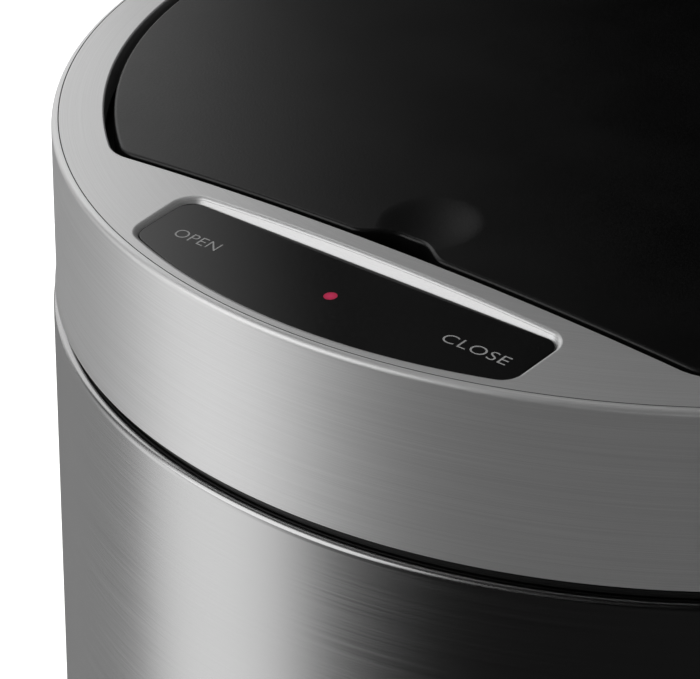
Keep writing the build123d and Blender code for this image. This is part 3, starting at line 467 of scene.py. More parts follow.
def is_inside(place: Point, loop: Sequence[Point], margin: float = 0.0) -> bool:
    """Tells whether a flat place lies inside a loop, and at least a margin from its line.

    Args:
        place: The place.
        loop: The loop.
        margin: The distance to keep; a negative one counts places just outside as inside.

    Returns:
        True when it does.
    """
    x, y = place
    inside = False
    near = math.inf
    for (x0, y0), (x1, y1) in zip(loop, list(loop[1:]) + [loop[0]]):
        if (y0 > y) != (y1 > y) and x < x0 + (y - y0) * (x1 - x0) / (y1 - y0):
            inside = not inside
        if margin:
            near = min(near, (x - x0) ** 2 + (y - y0) ** 2)
    if margin > 0:
        return inside and near > margin**2
    if margin < 0:
        return inside or near < margin**2
    return inside


def grid_points(low: Point, high: Point, step: float) -> list[Point]:
    """Evenly spaced places in a rectangle, every other row shifted by half a step.

    Args:
        low: The rectangle's lowest corner.
        high: Its highest corner.
        step: The distance between places.

    Returns:
        The places.
    """
    found = []
    rows = int((high[1] - low[1]) / step) + 1
    for j in range(rows):
        shift = 0.5 * step * (j % 2)
        columns = int((high[0] - low[0]) / step) + 1
        found += [(low[0] + shift + i * step, low[1] + j * step) for i in range(columns)]
    return found


def arc(middle: Point, radius: float, start: float, end: float, step: float) -> list[Point]:
    """Places on an arc without its last one.

    Args:
        middle: The arc's middle.
        radius: Its radius.
        start: Its first angle in radians.
        end: Its last angle in radians.
        step: The distance between places.

    Returns:
        The places.
    """
    count = max(3, int(abs(end - start) * radius / step))
    angles = [start + (end - start) * i / count for i in range(count)]
    return [(middle[0] + radius * math.cos(a), middle[1] + radius * math.sin(a)) for a in angles]


def outward(loop: Sequence[Point]) -> list[Point]:
    """Outward unit normals of a loop.

    Args:
        loop: The loop, which runs anticlockwise.

    Returns:
        One normal for each of its places.
    """
    count = len(loop)
    found = []
    for i in range(count):
        ax, ay = loop[i - 1]
        bx, by = loop[(i + 1) % count]
        length = math.hypot(bx - ax, by - ay) or 1.0
        found.append(((by - ay) / length, (ax - bx) / length))
    return found


def grown(loop: Sequence[Point], distance: float) -> list[Point]:
    """The loop moved outwards along its normals."""
    return [(x + nx * distance, y + ny * distance) for (x, y), (nx, ny) in zip(loop, outward(loop))]


def upright(loop: Sequence[Point], sides: Sequence[Point], height: Height, turn: int = 1) -> list[Corner]:
    """Points over a loop whose normals lie level along its sides, or against them with turn -1."""
    return [
        (Vector((x, y, height(x, y))), Vector((turn * nx, turn * ny, 0)))
        for (x, y), (nx, ny) in zip(loop, sides)
    ]


def downward(loop: Sequence[Point], height: Height) -> list[Corner]:
    """Points over a loop with normals that face down."""
    return [(Vector((x, y, height(x, y))), DOWN) for x, y in loop]


@dataclass(frozen=True)
class Crown:
    """The ball-shaped crown of the head; sizes in metres."""

    rim_z: float
    head_r: float = 178.0 * MM
    ball_r: float = 1.375

    def height(self, x: float, y: float, depth: float = 0.0) -> float:
        """Height of the crown, or of the surface a depth below it."""
        middle = self.rim_z - math.sqrt(self.ball_r**2 - self.head_r**2)
        return middle + math.sqrt((self.ball_r - depth) ** 2 - x * x - y * y)

    def normal(self, x: float, y: float) -> Vector:
        """The crown's normal."""
        return Vector((x, y, math.sqrt(self.ball_r**2 - x * x - y * y))).normalized()


@dataclass(frozen=True)
class LidOutline:
    """A circle cut off by a front and a rear chord, with round corners; sizes in metres."""

    radius: float = 163.4 * MM
    front: float = -131.2 * MM
    rear: float = 97.4 * MM
    corner: float = 15.0 * MM

    def shrunk(self, distance: float) -> "LidOutline":
        """The outline moved inwards all round."""
        return LidOutline(
            self.radius - distance, self.front + distance, self.rear - distance, self.corner - distance
        )

    def loop(self, step: float = 1.6 * MM, front: Callable[[float], float] | None = None) -> list[Point]:
        """Places along the outline, anticlockwise from the right front corner.

        Args:
            step: Distance between places.
            front: How far the front chord is set back at an x.

        Returns:
            The places.
        """
        c = self.corner
        reach = self.radius - c
        front_y, rear_y = self.front + c, self.rear - c
        front_x = math.sqrt(reach**2 - front_y**2)
        rear_x = math.sqrt(reach**2 - rear_y**2)
        low, high = math.atan2(front_y, front_x), math.atan2(rear_y, rear_x)
        turn = math.pi
        found = arc((front_x, front_y), c, -turn / 2, low, step / 2)
        found += arc((0, 0), self.radius, low, high, step)
        found += arc((rear_x, rear_y), c, high, turn / 2, step / 2)
        found += straight((rear_x, self.rear), (-rear_x, self.rear), step)
        found += arc((-rear_x, rear_y), c, turn / 2, turn - high, step / 2)
        found += arc((0, 0), self.radius, turn - high, turn - low, step)
        found += arc((-front_x, front_y), c, turn - low, 1.5 * turn, step / 2)
        chord = straight((-front_x, self.front), (front_x, self.front), step / 2)
        if front:
            chord = [(x, y + front(x)) for x, y in chord]
        return found + chord


def straight(start: Point, end: Point, step: float) -> list[Point]:
    """Places on a straight line without its last one.

    Args:
        start: The line's start.
        end: The line's end.
        step: About the distance between places.

    Returns:
        The places.
    """
    count = max(2, int(math.dist(start, end) / step))
    (x0, y0), (x1, y1) = start, end
    return [(x0 + (x1 - x0) * i / count, y0 + (y1 - y0) * i / count) for i in range(count)]


def on_turn(radius: float, angle: float, height: float) -> Vector:
    """A place, or a direction, given by its radius, its angle round the axis and its height."""
    return Vector((radius * math.cos(angle), radius * math.sin(angle), height))


def turned(profile: Sequence[Bend], angles: Sequence[float]) -> list[list[Corner]]:
    """Rows of a profile turned about the Z axis, one for each of its places."""
    return [
        [(on_turn(radius, a, height), on_turn(math.cos(tilt), a, math.sin(tilt))) for a in angles]
        for radius, height, tilt in profile
    ]


def lathe(name: str, profile: Sequence[Bend], count: int = 512) -> Patchwork:
    """Turns a closed profile all round the Z axis.

    Args:
        name: The piece's name.
        profile: Radius, height and the normal's angle above the horizontal, in order.
        count: Steps round the axis.

    Returns:
        The patchwork.
    """
    made = Patchwork(name)
    made.grid(turned(profile, [2 * math.pi * i / count for i in range(count)]))
    return made


def bend(middle: Point, radius: float, start: float, end: float, steps: int) -> list[Bend]:
    """Profile places of a convex bend.

    Args:
        middle: Radius and height of the bend's middle.
        radius: The bend's own radius.
        start: Its first normal's angle in degrees.
        end: Its last normal's angle in degrees.
        steps: Steps along it.

    Returns:
        The places with their normals' angles.
    """
    found = []
    for i in range(steps + 1):
        a = math.radians(start + (end - start) * i / steps)
        found.append((middle[0] + radius * math.cos(a), middle[1] + radius * math.sin(a), a))
    return found


def rounded(
    loop: Sequence[Point], edge: float, steps: int, over: Over, way: int = 1
) -> list[list[Corner]]:
    """Rows of a quarter-round along a loop, from its flat side to its upright side.

    Args:
        loop: The loop along the upright side.
        edge: The rounding's radius.
        steps: Steps over it.
        over: Gives the flat side's point and normal over a place, and over where the rounding starts.
        way: 1 where the solid lies inside the loop, -1 where it lies outside.

    Returns:
        The rows.
    """
    rows: list[list[Corner]] = []
    starts = grown(loop, -way * edge)
    for a in (math.pi / 2 * k / steps for k in range(steps + 1)):
        sine, cosine = math.sin(a), math.cos(a)
        row = []
        for at, start, side in zip(grown(loop, -way * edge * (1 - sine)), starts, outward(loop)):
            spot, up = over(at, start)
            facing = up * cosine + Vector((*side, 0)) * way * sine
            row.append((spot + DOWN * edge * (1 - cosine), facing))
        rows.append(row)
    return rows


def soft_step(t: float) -> float:
    """An eased rise from 0 to 1, level at both ends."""
    t = min(1.0, max(0.0, t))
    return t * t * (3 - 2 * t)


@dataclass(frozen=True)
class Hole:
    """One hole in the band: its turn from the rear in radians, its other sizes in metres."""

    turn: float
    half_w: float
    low: float
    high: float
    steps: int = 12

    def span(self, radius: float) -> Point:
        """The hole's first and last angle round the axis."""
        middle, half = math.pi / 2 + self.turn, math.asin(self.half_w / radius)
        return middle - half, middle + half

    def holds(self, spot: Vector, radius: float) -> bool:
        """Tells whether a spot of the band lies in the hole."""
        start, end = self.span(radius)
        return start < math.atan2(spot.y, spot.x) < end and self.low < spot.z < self.high

    def edge(self, shell: Patchwork, radii: Point) -> None:
        """Adds the steel's thickness round the hole.

        Args:
            shell: The patchwork to add to.
            radii: The steel's outer and inner radius.
        """
        start, end = self.span(radii[0])
        angles = [start + (end - start) * i / self.steps for i in range(self.steps + 1)]
        for height, facing in ((self.low, 1), (self.high, -1)):
            up = Vector((0, 0, facing))
            shell.grid([[(on_turn(r, a, height), up) for a in angles] for r in radii], closed=False)
        for angle, facing in ((start, 1), (end, -1)):
            side = Vector((-math.sin(angle), math.cos(angle), 0)) * facing
            ends = (self.low, self.high)
            shell.grid([[(on_turn(r, angle, z), side) for z in ends] for r in radii], closed=False)


@dataclass(frozen=True)
class Word:
    """One plain operating word on the panel; sizes in metres."""

    text: str
    middle_x: float
    width: float
    height: float = 3.7 * MM
    middle_y: float = -153.4 * MM
    rise: float = 0.03 * MM
    spacing: float = 1.06
    thinning: float = 0.008

    def outline(self) -> bpy.types.Mesh:
        """Draws the word in the program's own plain sans.

        Returns:
            Its flat mesh, at an arbitrary size.
        """
        name = "letters_" + self.text.lower()
        text = bpy.data.curves.new(name, "FONT")
        text.body = self.text
        text.align_x = "CENTER"
        text.align_y = "CENTER"
        text.space_character = self.spacing
        text.offset = -self.thinning
        text.fill_mode = "BOTH"
        draft = put(name, text)
        bpy.context.view_layer.update()
        graph = bpy.context.evaluated_depsgraph_get()
        mesh = bpy.data.meshes.new_from_object(draft.evaluated_get(graph))
        bpy.data.objects.remove(draft)
        mesh.name = name
        return mesh

    def build(self, frame: Matrix, back_y: float, ink: Material) -> Piece:
        """Makes the word on the panel.

        Args:
            frame: The panel's plane.
            back_y: Where that plane starts.
            ink: The print's finish.

        Returns:
            The piece.
        """
        mesh = self.outline()
        lines = ([v.co[k] for v in mesh.vertices] for k in (0, 1))
        wide, tall = (max(line) - min(line) for line in lines)
        size = Matrix.Diagonal((self.width / wide, self.height / tall, 1, 1))
        mesh.transform(frame @ Matrix.Translation((self.middle_x, self.middle_y - back_y, self.rise)) @ size)
        mesh.materials.clear()
        mesh.materials.append(ink)
        return put(mesh.name, mesh)


@dataclass
class CollarSizes:
    """Sizes of the steel collar, its opening and its panel recess, in metres."""

    rim_fillet: float = 2.1 * MM
    rim_step: float = 1.6 * MM
    steel: float = 1.2 * MM
    lip: float = 8.0 * MM
    opening_edge: float = 0.6 * MM
    recess_edge: float = 1.5 * MM
    recess_flare: float = math.tan(math.radians(30))
    recess_half_turn: float = math.radians(30)
    recess_share: float = 0.8
    recess_gap: float = 0.15 * MM
    recess_sink: float = 0.4 * MM
    recess_steps: int = 8
    hem: float = 0.45 * MM
    hem_height: float = 2.2 * MM
    hem_foot: float = 0.25 * MM
    hem_bend: float = 0.3 * MM
    hem_steps: int = 6
    grid_step: float = 5.0 * MM
    band_step: float = 2.2 * MM
    door: Hole = Hole(0.0, 52.0 * MM, 597.0 * MM, 624.0 * MM)
    switch: Hole = Hole(math.radians(27), 10.5 * MM, 598.5 * MM, 613.5 * MM)


@dataclass
class PanelSizes:
    """Sizes of the touch panel, in metres."""

    back_y: float = -138.9 * MM
    back_z: float = 639.8 * MM
    slope: float = 0.0936
    half_w: float = 62.5 * MM
    front_r: float = 171.8 * MM
    corner: float = 5.0 * MM
    edge: float = 0.35 * MM
    thickness: float = 2.4 * MM
    light_y: float = -154.6 * MM
    light_r: float = 1.85 * MM
    light_step: float = 0.4 * MM
    words: tuple[Word, ...] = (Word("OPEN", -46.6 * MM, 14.7 * MM), Word("CLOSE", 46.2 * MM, 20.6 * MM))

    def frame(self) -> Matrix:
        """The panel's plane: x across, y towards the back, z out of the face."""
        origin = Matrix.Translation((0, self.back_y, self.back_z))
        return origin @ Matrix.Rotation(math.atan(self.slope), 4, "X")

    def loop(self, grow: float = 0.0, step: float = 0.8 * MM) -> list[Point]:
        """The panel's outline in its own plane, anticlockwise.

        Args:
            grow: How much larger it is all round.
            step: Distance between places.

        Returns:
            The places.
        """
        half, front_r = self.half_w + grow, self.front_r + grow
        c = self.corner + grow
        hub = (0.0, -self.back_y)
        side_x = half - c
        front_y = hub[1] - math.sqrt((front_r - c) ** 2 - side_x**2)
        low = math.atan2(front_y - hub[1], side_x)
        turn = math.pi
        found = arc((side_x, front_y), c, low, 0, step)
        found += straight((half, front_y), (half, grow - c), step)
        found += arc((side_x, grow - c), c, 0, turn / 2, step)
        found += straight((side_x, grow), (-side_x, grow), step)
        found += arc((-side_x, grow - c), c, turn / 2, turn, step)
        found += straight((-half, grow - c), (-half, front_y), step)
        found += arc((-side_x, front_y), c, turn, turn - low, step)
        return found + arc(hub, front_r, -turn - low, low, step)


@dataclass
class Head:
    """The collar, its openings and the touch panel."""

    crown: Crown
    outline: LidOutline
    band_z: float
    steel: Material
    gloss: Material
    ink: Material
    sizes: CollarSizes = field(default_factory=CollarSizes)
    panel: PanelSizes = field(default_factory=PanelSizes)

    def on_crown(self, x: float, y: float) -> Corner:
        """A point of the crown with its normal."""
        return Vector((x, y, self.crown.height(x, y))), self.crown.normal(x, y)

    def lip_height(self, x: float, y: float) -> float:
        """Height of the opening's lower lip."""
        return self.crown.height(x, y, self.sizes.lip)

    def reach_of_crown(self, foot: Vector, rise: Vector) -> float:
        """Finds how far a line has to run to meet the crown.

        Args:
            foot: Where it starts.
            rise: Its direction, which is steep.

        Returns:
            The distance.
        """
        length = MM
        for _ in range(12):
            tip = foot + rise * length
            length += self.crown.height(tip.x, tip.y) - tip.z
        return length

    def recess_rows(self) -> list[list[Corner]]:
        """Rows of the recess's flared wall and rounded edge, from the panel up to the crown.

        Returns:
            The rows.
        """
        s = self.sizes
        frame = self.panel.frame()
        turn = frame.to_3x3()
        base = self.panel.loop(s.recess_gap)
        steps = s.recess_steps
        rows: list[list[Corner]] = [[] for _ in range(steps + 3)]
        for (x, y), (nx, ny) in zip(base, outward(base)):
            foot = frame @ Vector((x, y, -s.recess_sink))
            rise = (turn @ Vector((nx * s.recess_flare, ny * s.recess_flare, 1))).normalized()
            facing = (turn @ Vector((-nx, -ny, s.recess_flare))).normalized()
            out = (turn @ Vector((nx, ny, 0))).normalized()
            length = self.reach_of_crown(foot, rise)
            edge = foot + rise * length
            up = self.crown.normal(edge.x, edge.y)
            away = (out - up * out.dot(up)).normalized()
            reach = min(s.recess_edge * math.tan(s.recess_half_turn), length * s.recess_share)
            start, end = edge - rise * reach, edge + away * reach
            rows[0].append((foot, facing))
            rows[1].append((start, facing))
            for k in range(steps + 1):
                t = k / steps
                spot = start * (1 - t) ** 2 + edge * 2 * t * (1 - t) + end * t * t
                if k == steps:
                    spot.z = self.crown.height(spot.x, spot.y)
                rows[k + 2].append((spot, facing.slerp(up, t)))
        return rows

    def build_top(self, shell: Patchwork) -> None:
        """Adds the crowned top with the lid opening and the panel recess.

        Args:
            shell: The patchwork to add to.
        """
        s = self.sizes
        opening = self.outline.loop()
        sides = outward(opening)
        recess = self.recess_rows()
        shell.grid(recess)
        hole = [(spot.x, spot.y) for spot, _ in recess[-1]]
        reach = self.crown.head_r
        rim = arc((0, 0), reach - s.rim_fillet, 0, 2 * math.pi, s.rim_step)
        inside = grid_points((-reach, -reach), (reach, reach), s.grid_step)
        shell.cap(rim, [grown(opening, s.opening_edge), hole], inside, self.on_crown)

        def over(at: Point, _start: Point) -> Corner:
            """A point of the crown beside the opening."""
            return self.on_crown(*at)

        lip = upright(opening, sides, self.lip_height, -1)
        shell.grid([*rounded(opening, s.opening_edge, 6, over, -1), lip])
        under = [(spot, DOWN) for spot, _ in lip]
        outer = [(spot - inward * s.steel, DOWN) for spot, inward in lip]
        shell.grid([under, outer])

    def band_profile(self) -> list[Bend]:
        """The profile of the rounded rim, the straight band, its hem and its inner face.

        Returns:
            Its places, from the crown down and up again inside.
        """
        s = self.sizes
        r, low = self.crown.head_r, self.band_z
        slope = math.degrees(math.atan2(math.sqrt(self.crown.ball_r**2 - r * r), r))
        rim_z = self.crown.height(r - s.rim_fillet, 0) - s.rim_fillet
        profile = bend((r - s.rim_fillet, rim_z), s.rim_fillet, slope, 0, 10)
        heights = [s.door.high, s.switch.high, s.switch.low, s.door.low, low + s.hem_height]
        profile += [(r, z, 0.0) for z in heights]
        for t in ((k + 1) / s.hem_steps for k in range(s.hem_steps)):
            height = low + s.hem_height * (1 - t) + s.hem_foot * t
            profile.append((r + s.hem * soft_step(t), height, 0.0))
        profile += bend((r + s.hem - s.hem_bend, low + s.hem_bend), s.hem_bend, 0, -90, 4)
        inner = r - s.steel
        profile += [(inner, low, -math.pi / 2), (inner, low, math.pi)]
        return profile + [(inner, self.crown.rim_z - s.rim_fillet, math.pi)]

    def build_band(self, shell: Patchwork) -> None:
        """Adds the rounded rim and the band with its two holes.

        Args:
            shell: The patchwork to add to.
        """
        s = self.sizes
        r = self.crown.head_r
        holes = (s.door, s.switch)
        marks = [angle for hole in holes for angle in hole.span(r)]
        turns: list[float] = []
        for low, high in zip(marks, [*marks[1:], marks[0] + 2 * math.pi]):
            count = max(2, int((high - low) * r / s.band_step))
            turns += [low + (high - low) * i / count for i in range(count)]

        def keep(middle: Vector) -> bool:
            """Leaves the holes open."""
            return not any(hole.holds(middle, r) for hole in holes)

        shell.grid(turned(self.band_profile(), turns), keep=keep)
        for hole in holes:
            hole.edge(shell, (r, r - s.steel))

    def build_panel(self) -> Piece:
        """Makes the glossy touch panel with its rounded edge and the light's hole.

        Returns:
            The panel.
        """
        p = self.panel
        frame = p.frame()
        turn = frame.to_3x3()
        sheet = Patchwork("touch_glass")
        loop = p.loop()
        light = arc((0, p.light_y - p.back_y), p.light_r, 0, 2 * math.pi, p.light_step)

        def lift(x: float, y: float) -> Corner:
            """A point of the panel's face."""
            return frame @ Vector((x, y, 0)), turn @ -DOWN

        def over(at: Point, _start: Point) -> Corner:
            """A point of the face in the panel's own plane."""
            return Vector((*at, 0)), -DOWN

        sheet.cap(grown(loop, -p.edge), [light], [], lift)
        foot = [(Vector((*at, -p.thickness)), Vector((*side, 0))) for at, side in zip(loop, outward(loop))]
        rows = [*rounded(loop, p.edge, 5, over), foot]
        sheet.grid([[(frame @ spot, turn @ facing) for spot, facing in row] for row in rows])
        return sheet.build(self.gloss)

    def build(self) -> None:
        """Builds the head's visible pieces and joins them to the frame."""
        shell = Patchwork("collar")
        self.build_top(shell)
        self.build_band(shell)
        collar = shell.build(self.steel)
        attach(collar, "head")
        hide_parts("collar_shell")
        panel = self.build_panel()
        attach(panel, "head")
        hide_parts("touch_panel")
        for word in self.panel.words:
            piece = word.build(self.panel.frame(), self.panel.back_y, self.ink)
            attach(piece, "head")
        LOG.info("head: collar %d faces, panel and words", len(collar.data.polygons))


@dataclass
class LidSizes:
    """Sizes of the lid, in metres."""

    gap: float = 2.6 * MM
    sink: float = 0.6 * MM
    skin: float = 2.4 * MM
    wall: float = 2.2 * MM
    edge: float = 1.0 * MM
    nose_r: float = 10.4 * MM
    notch_depth: float = 5.8 * MM
    notch_half_w: float = 9.0 * MM
    notch_blend: float = 13.0 * MM
    dimple_r: float = 14.0 * MM
    dimple_depth: float = 1.2 * MM
    dimple_setback: float = 7.5 * MM
    slope_step: float = 0.05 * MM
    slots: tuple[Point, ...] = ((39.2 * MM, 49.0 * MM), (-49.0 * MM, -45.0 * MM))
    ribs: tuple[Point, ...] = ((36.2 * MM, 39.2 * MM), (49.0 * MM, 52.0 * MM))
    rib_r: float = 5.6 * MM
    rib_step: float = 0.6 * MM
    top_step: float = 5.0 * MM
    dimple_step: float = 1.1 * MM
    nose_step: float = 2.2 * MM
    nose_turns: tuple[float, ...] = (0, 7.5, 15, 22.5, 30, 37.5, 45, 52.5, 60)
    under_step: float = 7.0 * MM
    under_reach: float = 8.0 * MM


@dataclass
class Lid:
    """The black lid with its finger notch, dimple and rounded rear nose."""

    crown: Crown
    outline: LidOutline
    low_z: float
    hinge: Point
    plastic: Material
    sizes: LidSizes = field(default_factory=LidSizes)

    def setback(self, x: float) -> float:
        """How far the notch sets the front edge back at an x."""
        s = self.sizes
        return s.notch_depth * soft_step((s.notch_half_w + s.notch_blend / 2 - abs(x)) / s.notch_blend)

    def nose(self, y: float) -> float:
        """How far the rounded nose reaches above and below the hinge at a y behind it."""
        return math.sqrt(max(0.0, self.sizes.nose_r**2 - (y - self.hinge[0]) ** 2))

    def height(self, x: float, y: float) -> float:
        """Height of the lid's top.

        Args:
            x: The place's x.
            y: The place's y.

        Returns:
            The height.
        """
        s = self.sizes
        z = self.crown.height(x, y, s.sink)
        if y > self.hinge[0]:
            z = min(z, self.hinge[1] + self.nose(y))
        middle = self.outline.front + s.gap + s.notch_depth + s.dimple_setback
        t = math.hypot(x, y - middle) / s.dimple_r
        return z - s.dimple_depth * (1 - t * t) ** 1.5 if t < 1 else z

    def foot(self, _x: float, y: float) -> float:
        """Height of the lid's lower edge, which curls up round the hinge at the rear."""
        return max(self.low_z, self.hinge[1] - self.nose(y)) if y > self.hinge[0] else self.low_z

    def ceiling(self, x: float, y: float) -> float:
        """Height of the lid's inner face."""
        return self.height(x, y) - self.sizes.skin

    def lift(self, x: float, y: float) -> Corner:
        """A point of the lid's top with its normal.

        Args:
            x: The place's x.
            y: The place's y.

        Returns:
            The point and the normal.
        """
        d = self.sizes.slope_step
        rise_x = (self.height(x + d, y) - self.height(x - d, y)) / (2 * d)
        rise_y = (self.height(x, y + d) - self.height(x, y - d)) / (2 * d)
        return Vector((x, y, self.height(x, y))), Vector((-rise_x, -rise_y, 1)).normalized()

    def inside(self, x: float, y: float) -> Corner:
        """A point of the lid's inner face with its normal."""
        return Vector((x, y, self.ceiling(x, y))), -self.lift(x, y)[1]

    def refine(self) -> list[Point]:
        """Loose places over the lid: an even field, finer at the dimple and the nose.

        Returns:
            The places.
        """
        s = self.sizes
        reach, front = self.outline.radius, self.outline.front
        wide = 1.2 * s.dimple_r + s.dimple_setback
        far = front + 1.4 * wide
        found = grid_points((-reach, front), (reach, self.hinge[0]), s.top_step)
        found = [(x, y) for x, y in found if abs(x) > wide or y > far]
        found += grid_points((-wide, front), (wide, far), s.dimple_step)
        for turn in s.nose_turns:
            y = self.hinge[0] + s.nose_r * math.sin(math.radians(turn))
            found += straight((-reach, y), (reach, y), s.nose_step)
        return found

    def keep(self, middle: Vector) -> bool:
        """Leaves the slots for the ears and the gear open in the rear wall."""
        return middle.y <= self.hinge[0] or not any(a < middle.x < b for a, b in self.sizes.slots)

    def build(self) -> None:
        """Builds the lid and joins it to the frame."""
        s = self.sizes
        skin = Patchwork("lid_shell")
        loop = self.outline.shrunk(s.gap).loop(front=self.setback)
        sides = outward(loop)
        skin.cap(grown(loop, -s.edge), [], self.refine(), self.lift)

        def over(at: Point, start: Point) -> Corner:
            """A point over the lid's edge, as high as the top where the rounding starts."""
            spot, up = self.lift(*start)
            return Vector((*at, spot.z)), up

        rows = rounded(loop, s.edge, 7, over)
        skin.grid(rows)
        inner = grown(loop, -s.wall)
        wall = [(spot, Vector((*side, 0))) for (spot, _), side in zip(rows[-1], sides)]
        skin.grid([wall, upright(loop, sides, self.foot)], keep=self.keep)
        skin.grid([downward(loop, self.foot), downward(inner, self.foot)], keep=self.keep)
        backs = [upright(inner, sides, height, -1) for height in (self.foot, self.ceiling)]
        skin.grid(backs, keep=self.keep)
        reach = self.outline.radius
        far = (reach, self.hinge[0] + s.under_reach)
        skin.cap(inner, [], grid_points((-reach, self.outline.front), far, s.under_step), self.inside)
        for low_x, high_x in [*s.ribs, *[(-b, -a) for a, b in s.ribs]]:
            self.rib(skin, low_x, high_x)
        lid = skin.build(self.plastic)
        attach(lid, "lid")
        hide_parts("lid_panel")
        LOG.info("lid: %d faces", len(lid.data.polygons))

    def rib(self, skin: Patchwork, low_x: float, high_x: float) -> None:
        """Adds one upright rib that holds a hinge pin.

        Args:
            skin: The patchwork to add to.
            low_x: Its left face.
            high_x: Its right face.
        """
        r = self.sizes.rib_r
        top = self.sizes.nose_r - self.sizes.skin
        shape = arc((0, 0), r, -math.pi, 0, self.sizes.rib_step)
        shape += [(r, 0), (r * 0.8, top * 0.7), (-r, top * 1.1)]
        spots = [(self.hinge[0] + y, self.hinge[1] + z) for y, z in shape]
        for x, facing in ((low_x, -1), (high_x, 1)):
            skin.face([skin.add((Vector((x, *spot)), Vector((facing, 0, 0)))) for spot in spots])
        sides = outward(spots)
        ends = (low_x, high_x)
        skin.grid([[(Vector((x, *spot)), Vector((0, *n))) for spot, n in zip(spots, sides)] for x in ends])


@dataclass
class Body:
    """The steel body with its rolled mouth, and the black ring in the reveal; sizes in metres."""

    steel: Material
    plastic: Material
    low_row: float = 200.0 * MM
    high_row: float = 20.0 * MM
    roll_r: float = 2.3 * MM
    sheet: float = 1.0 * MM
    line_edge: float = 0.25 * MM
    line_inset: float = 2.2 * MM
    line_height: float = 0.9 * MM
    step_inset: float = 3.4 * MM
    ring_in_r: float = 160.0 * MM
    plug_wall: float = 2.0 * MM
    clear: float = 0.2 * MM

    def build(self) -> None:
        """Builds the body's turned pieces and joins them to the frame."""
        low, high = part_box("body_shell")
        radius = round(high.x / MM) * MM
        self.shell(radius, low.z, high.z)
        self.ring(radius, high.z)
        LOG.info("body: wall and reveal ring")

    def shell(self, radius: float, low: float, high: float) -> None:
        """Makes the steel wall.

        Args:
            radius: Its outer radius.
            low: Its lower edge's height.
            high: Its mouth's height.
        """
        roll = (radius - self.roll_r, high - self.roll_r)
        heights = (low, low + self.low_row, roll[1] - self.high_row)
        profile = [(radius, height, 0.0) for height in heights]
        profile += bend(roll, self.roll_r, 0, 180, 20)
        inner = bend(roll, self.roll_r - self.sheet, 180, 0, 12)
        profile += [(r, z, a + math.pi) for r, z, a in inner]
        profile += [(radius - self.sheet, low, math.pi)]
        wall = lathe("can_wall", profile).build(self.steel)
        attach(wall, "can_body")
        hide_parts("body_shell")

    def ring(self, radius: float, mouth: float) -> None:
        """Makes the black ring in the mouth, whose edge is the thin line in the reveal.

        Args:
            radius: The wall's outer radius.
            mouth: The mouth's height.
        """
        low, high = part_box("rim_ring")
        line_r, step_r, in_r = radius - self.line_inset, radius - self.step_inset, self.ring_in_r
        line_low, seat = high.z - self.line_height, mouth + self.clear
        plug_r = radius - 2 * self.roll_r - self.clear
        plug_in, e = plug_r - self.plug_wall, self.line_edge
        down, right, up, left = -math.pi / 2, 0.0, math.pi / 2, math.pi
        profile = [(plug_in, low.z, left), (plug_in, low.z, down), (plug_r, low.z, down)]
        profile += [(plug_r, low.z, right), (plug_r, seat, right), (plug_r, seat, down)]
        profile += [(step_r, seat, down), (step_r, seat, right), (step_r, line_low, right)]
        profile += [(step_r, line_low, down), *bend((line_r - e, line_low + e), e, -90, 0, 4)]
        profile += bend((line_r - e, high.z - e), e, 0, 90, 4)
        profile += [(in_r, high.z, up), (in_r, high.z, left), (in_r, seat, left), (in_r, seat, down)]
        profile += [(plug_in, seat, down), (plug_in, seat, left), (plug_in, low.z, left)]
        ring = lathe("reveal_ring", profile).build(self.plastic)
        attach(ring, "can_body")
        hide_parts("rim_ring")


@dataclass
class Works:
    """The carried nodes: each gets the finish of its material slot."""

    finishes: dict[str, Material]

    def dress(self, frame: dict) -> None:
        """Gives every carried node its material.
        """
        for part in frame["record"]["subparts"]:
            mesh = frame["nodes"][part["node"]].data
            mesh.materials.clear()
            mesh.materials.append(self.finishes[part["material_slot"]])


@dataclass
class View:
    """The photograph's view: angles in degrees, scale in pixels to a head radius, shifts in pixels."""

    azimuth: float = 40.6633
    elevation: float = 27.7571
    scale: float = 644.8469
    nearness: float = 0.1487
    shift_x: float = 346.9281
    shift_y: float = 236.4765
    picture_width: float = 700.0
    sensor: float = 36.0
    far: float = 50.0

    def build(self, head_r: float, rim_z: float) -> None:
        """Makes the camera.

        Args:
            head_r: The head's radius.
            rim_z: The height of its rim.
        """
        a, e = math.radians(self.azimuth), math.radians(self.elevation)
        right = Vector((math.cos(a), math.sin(a), 0))
        ahead = Vector((-math.sin(a) * math.cos(e), math.cos(a) * math.cos(e), -math.sin(e)))
        up = right.cross(ahead)
        spot = right * (-self.shift_x / self.scale) + up * (-self.shift_y / self.scale)
        spot = (spot - ahead / self.nearness) * head_r + Vector((0, 0, rim_z))
        data = bpy.data.cameras.new("camera")
        data.sensor_width = self.sensor
        data.lens = self.scale / self.nearness / self.picture_width * self.sensor
        data.clip_end = self.far
        camera = put("camera", data)
        turn = Matrix((right, up, -ahead)).transposed().to_4x4()
        camera.matrix_world = Matrix.Translation(spot) @ turn
        bpy.context.scene.camera = camera


@dataclass(frozen=True)
class SoftBox:
    """One soft light: where it stands, what it faces, its size in metres and its power."""

    name: str
    place: Place
    target: Place
    size: Point
    power: float
    mirrored: bool = False

    def build(self) -> None:
        """Makes the light."""
        data = bpy.data.lights.new(self.name, "AREA")
        data.shape = "RECTANGLE"
        data.size, data.size_y = self.size
        data.energy = self.power
        light = put(self.name, data)
        light.location = self.place
        facing = Vector(self.target) - Vector(self.place)
        light.rotation_euler = facing.to_track_quat("-Z", "Y").to_euler()
        light.visible_glossy = self.mirrored
        light.visible_camera = False


@dataclass(frozen=True)
class Glow:
    """One soft patch of the surrounding light: its compass angle, its widths and its strength."""

    angle: float
    full: float
    none: float
    strength: float


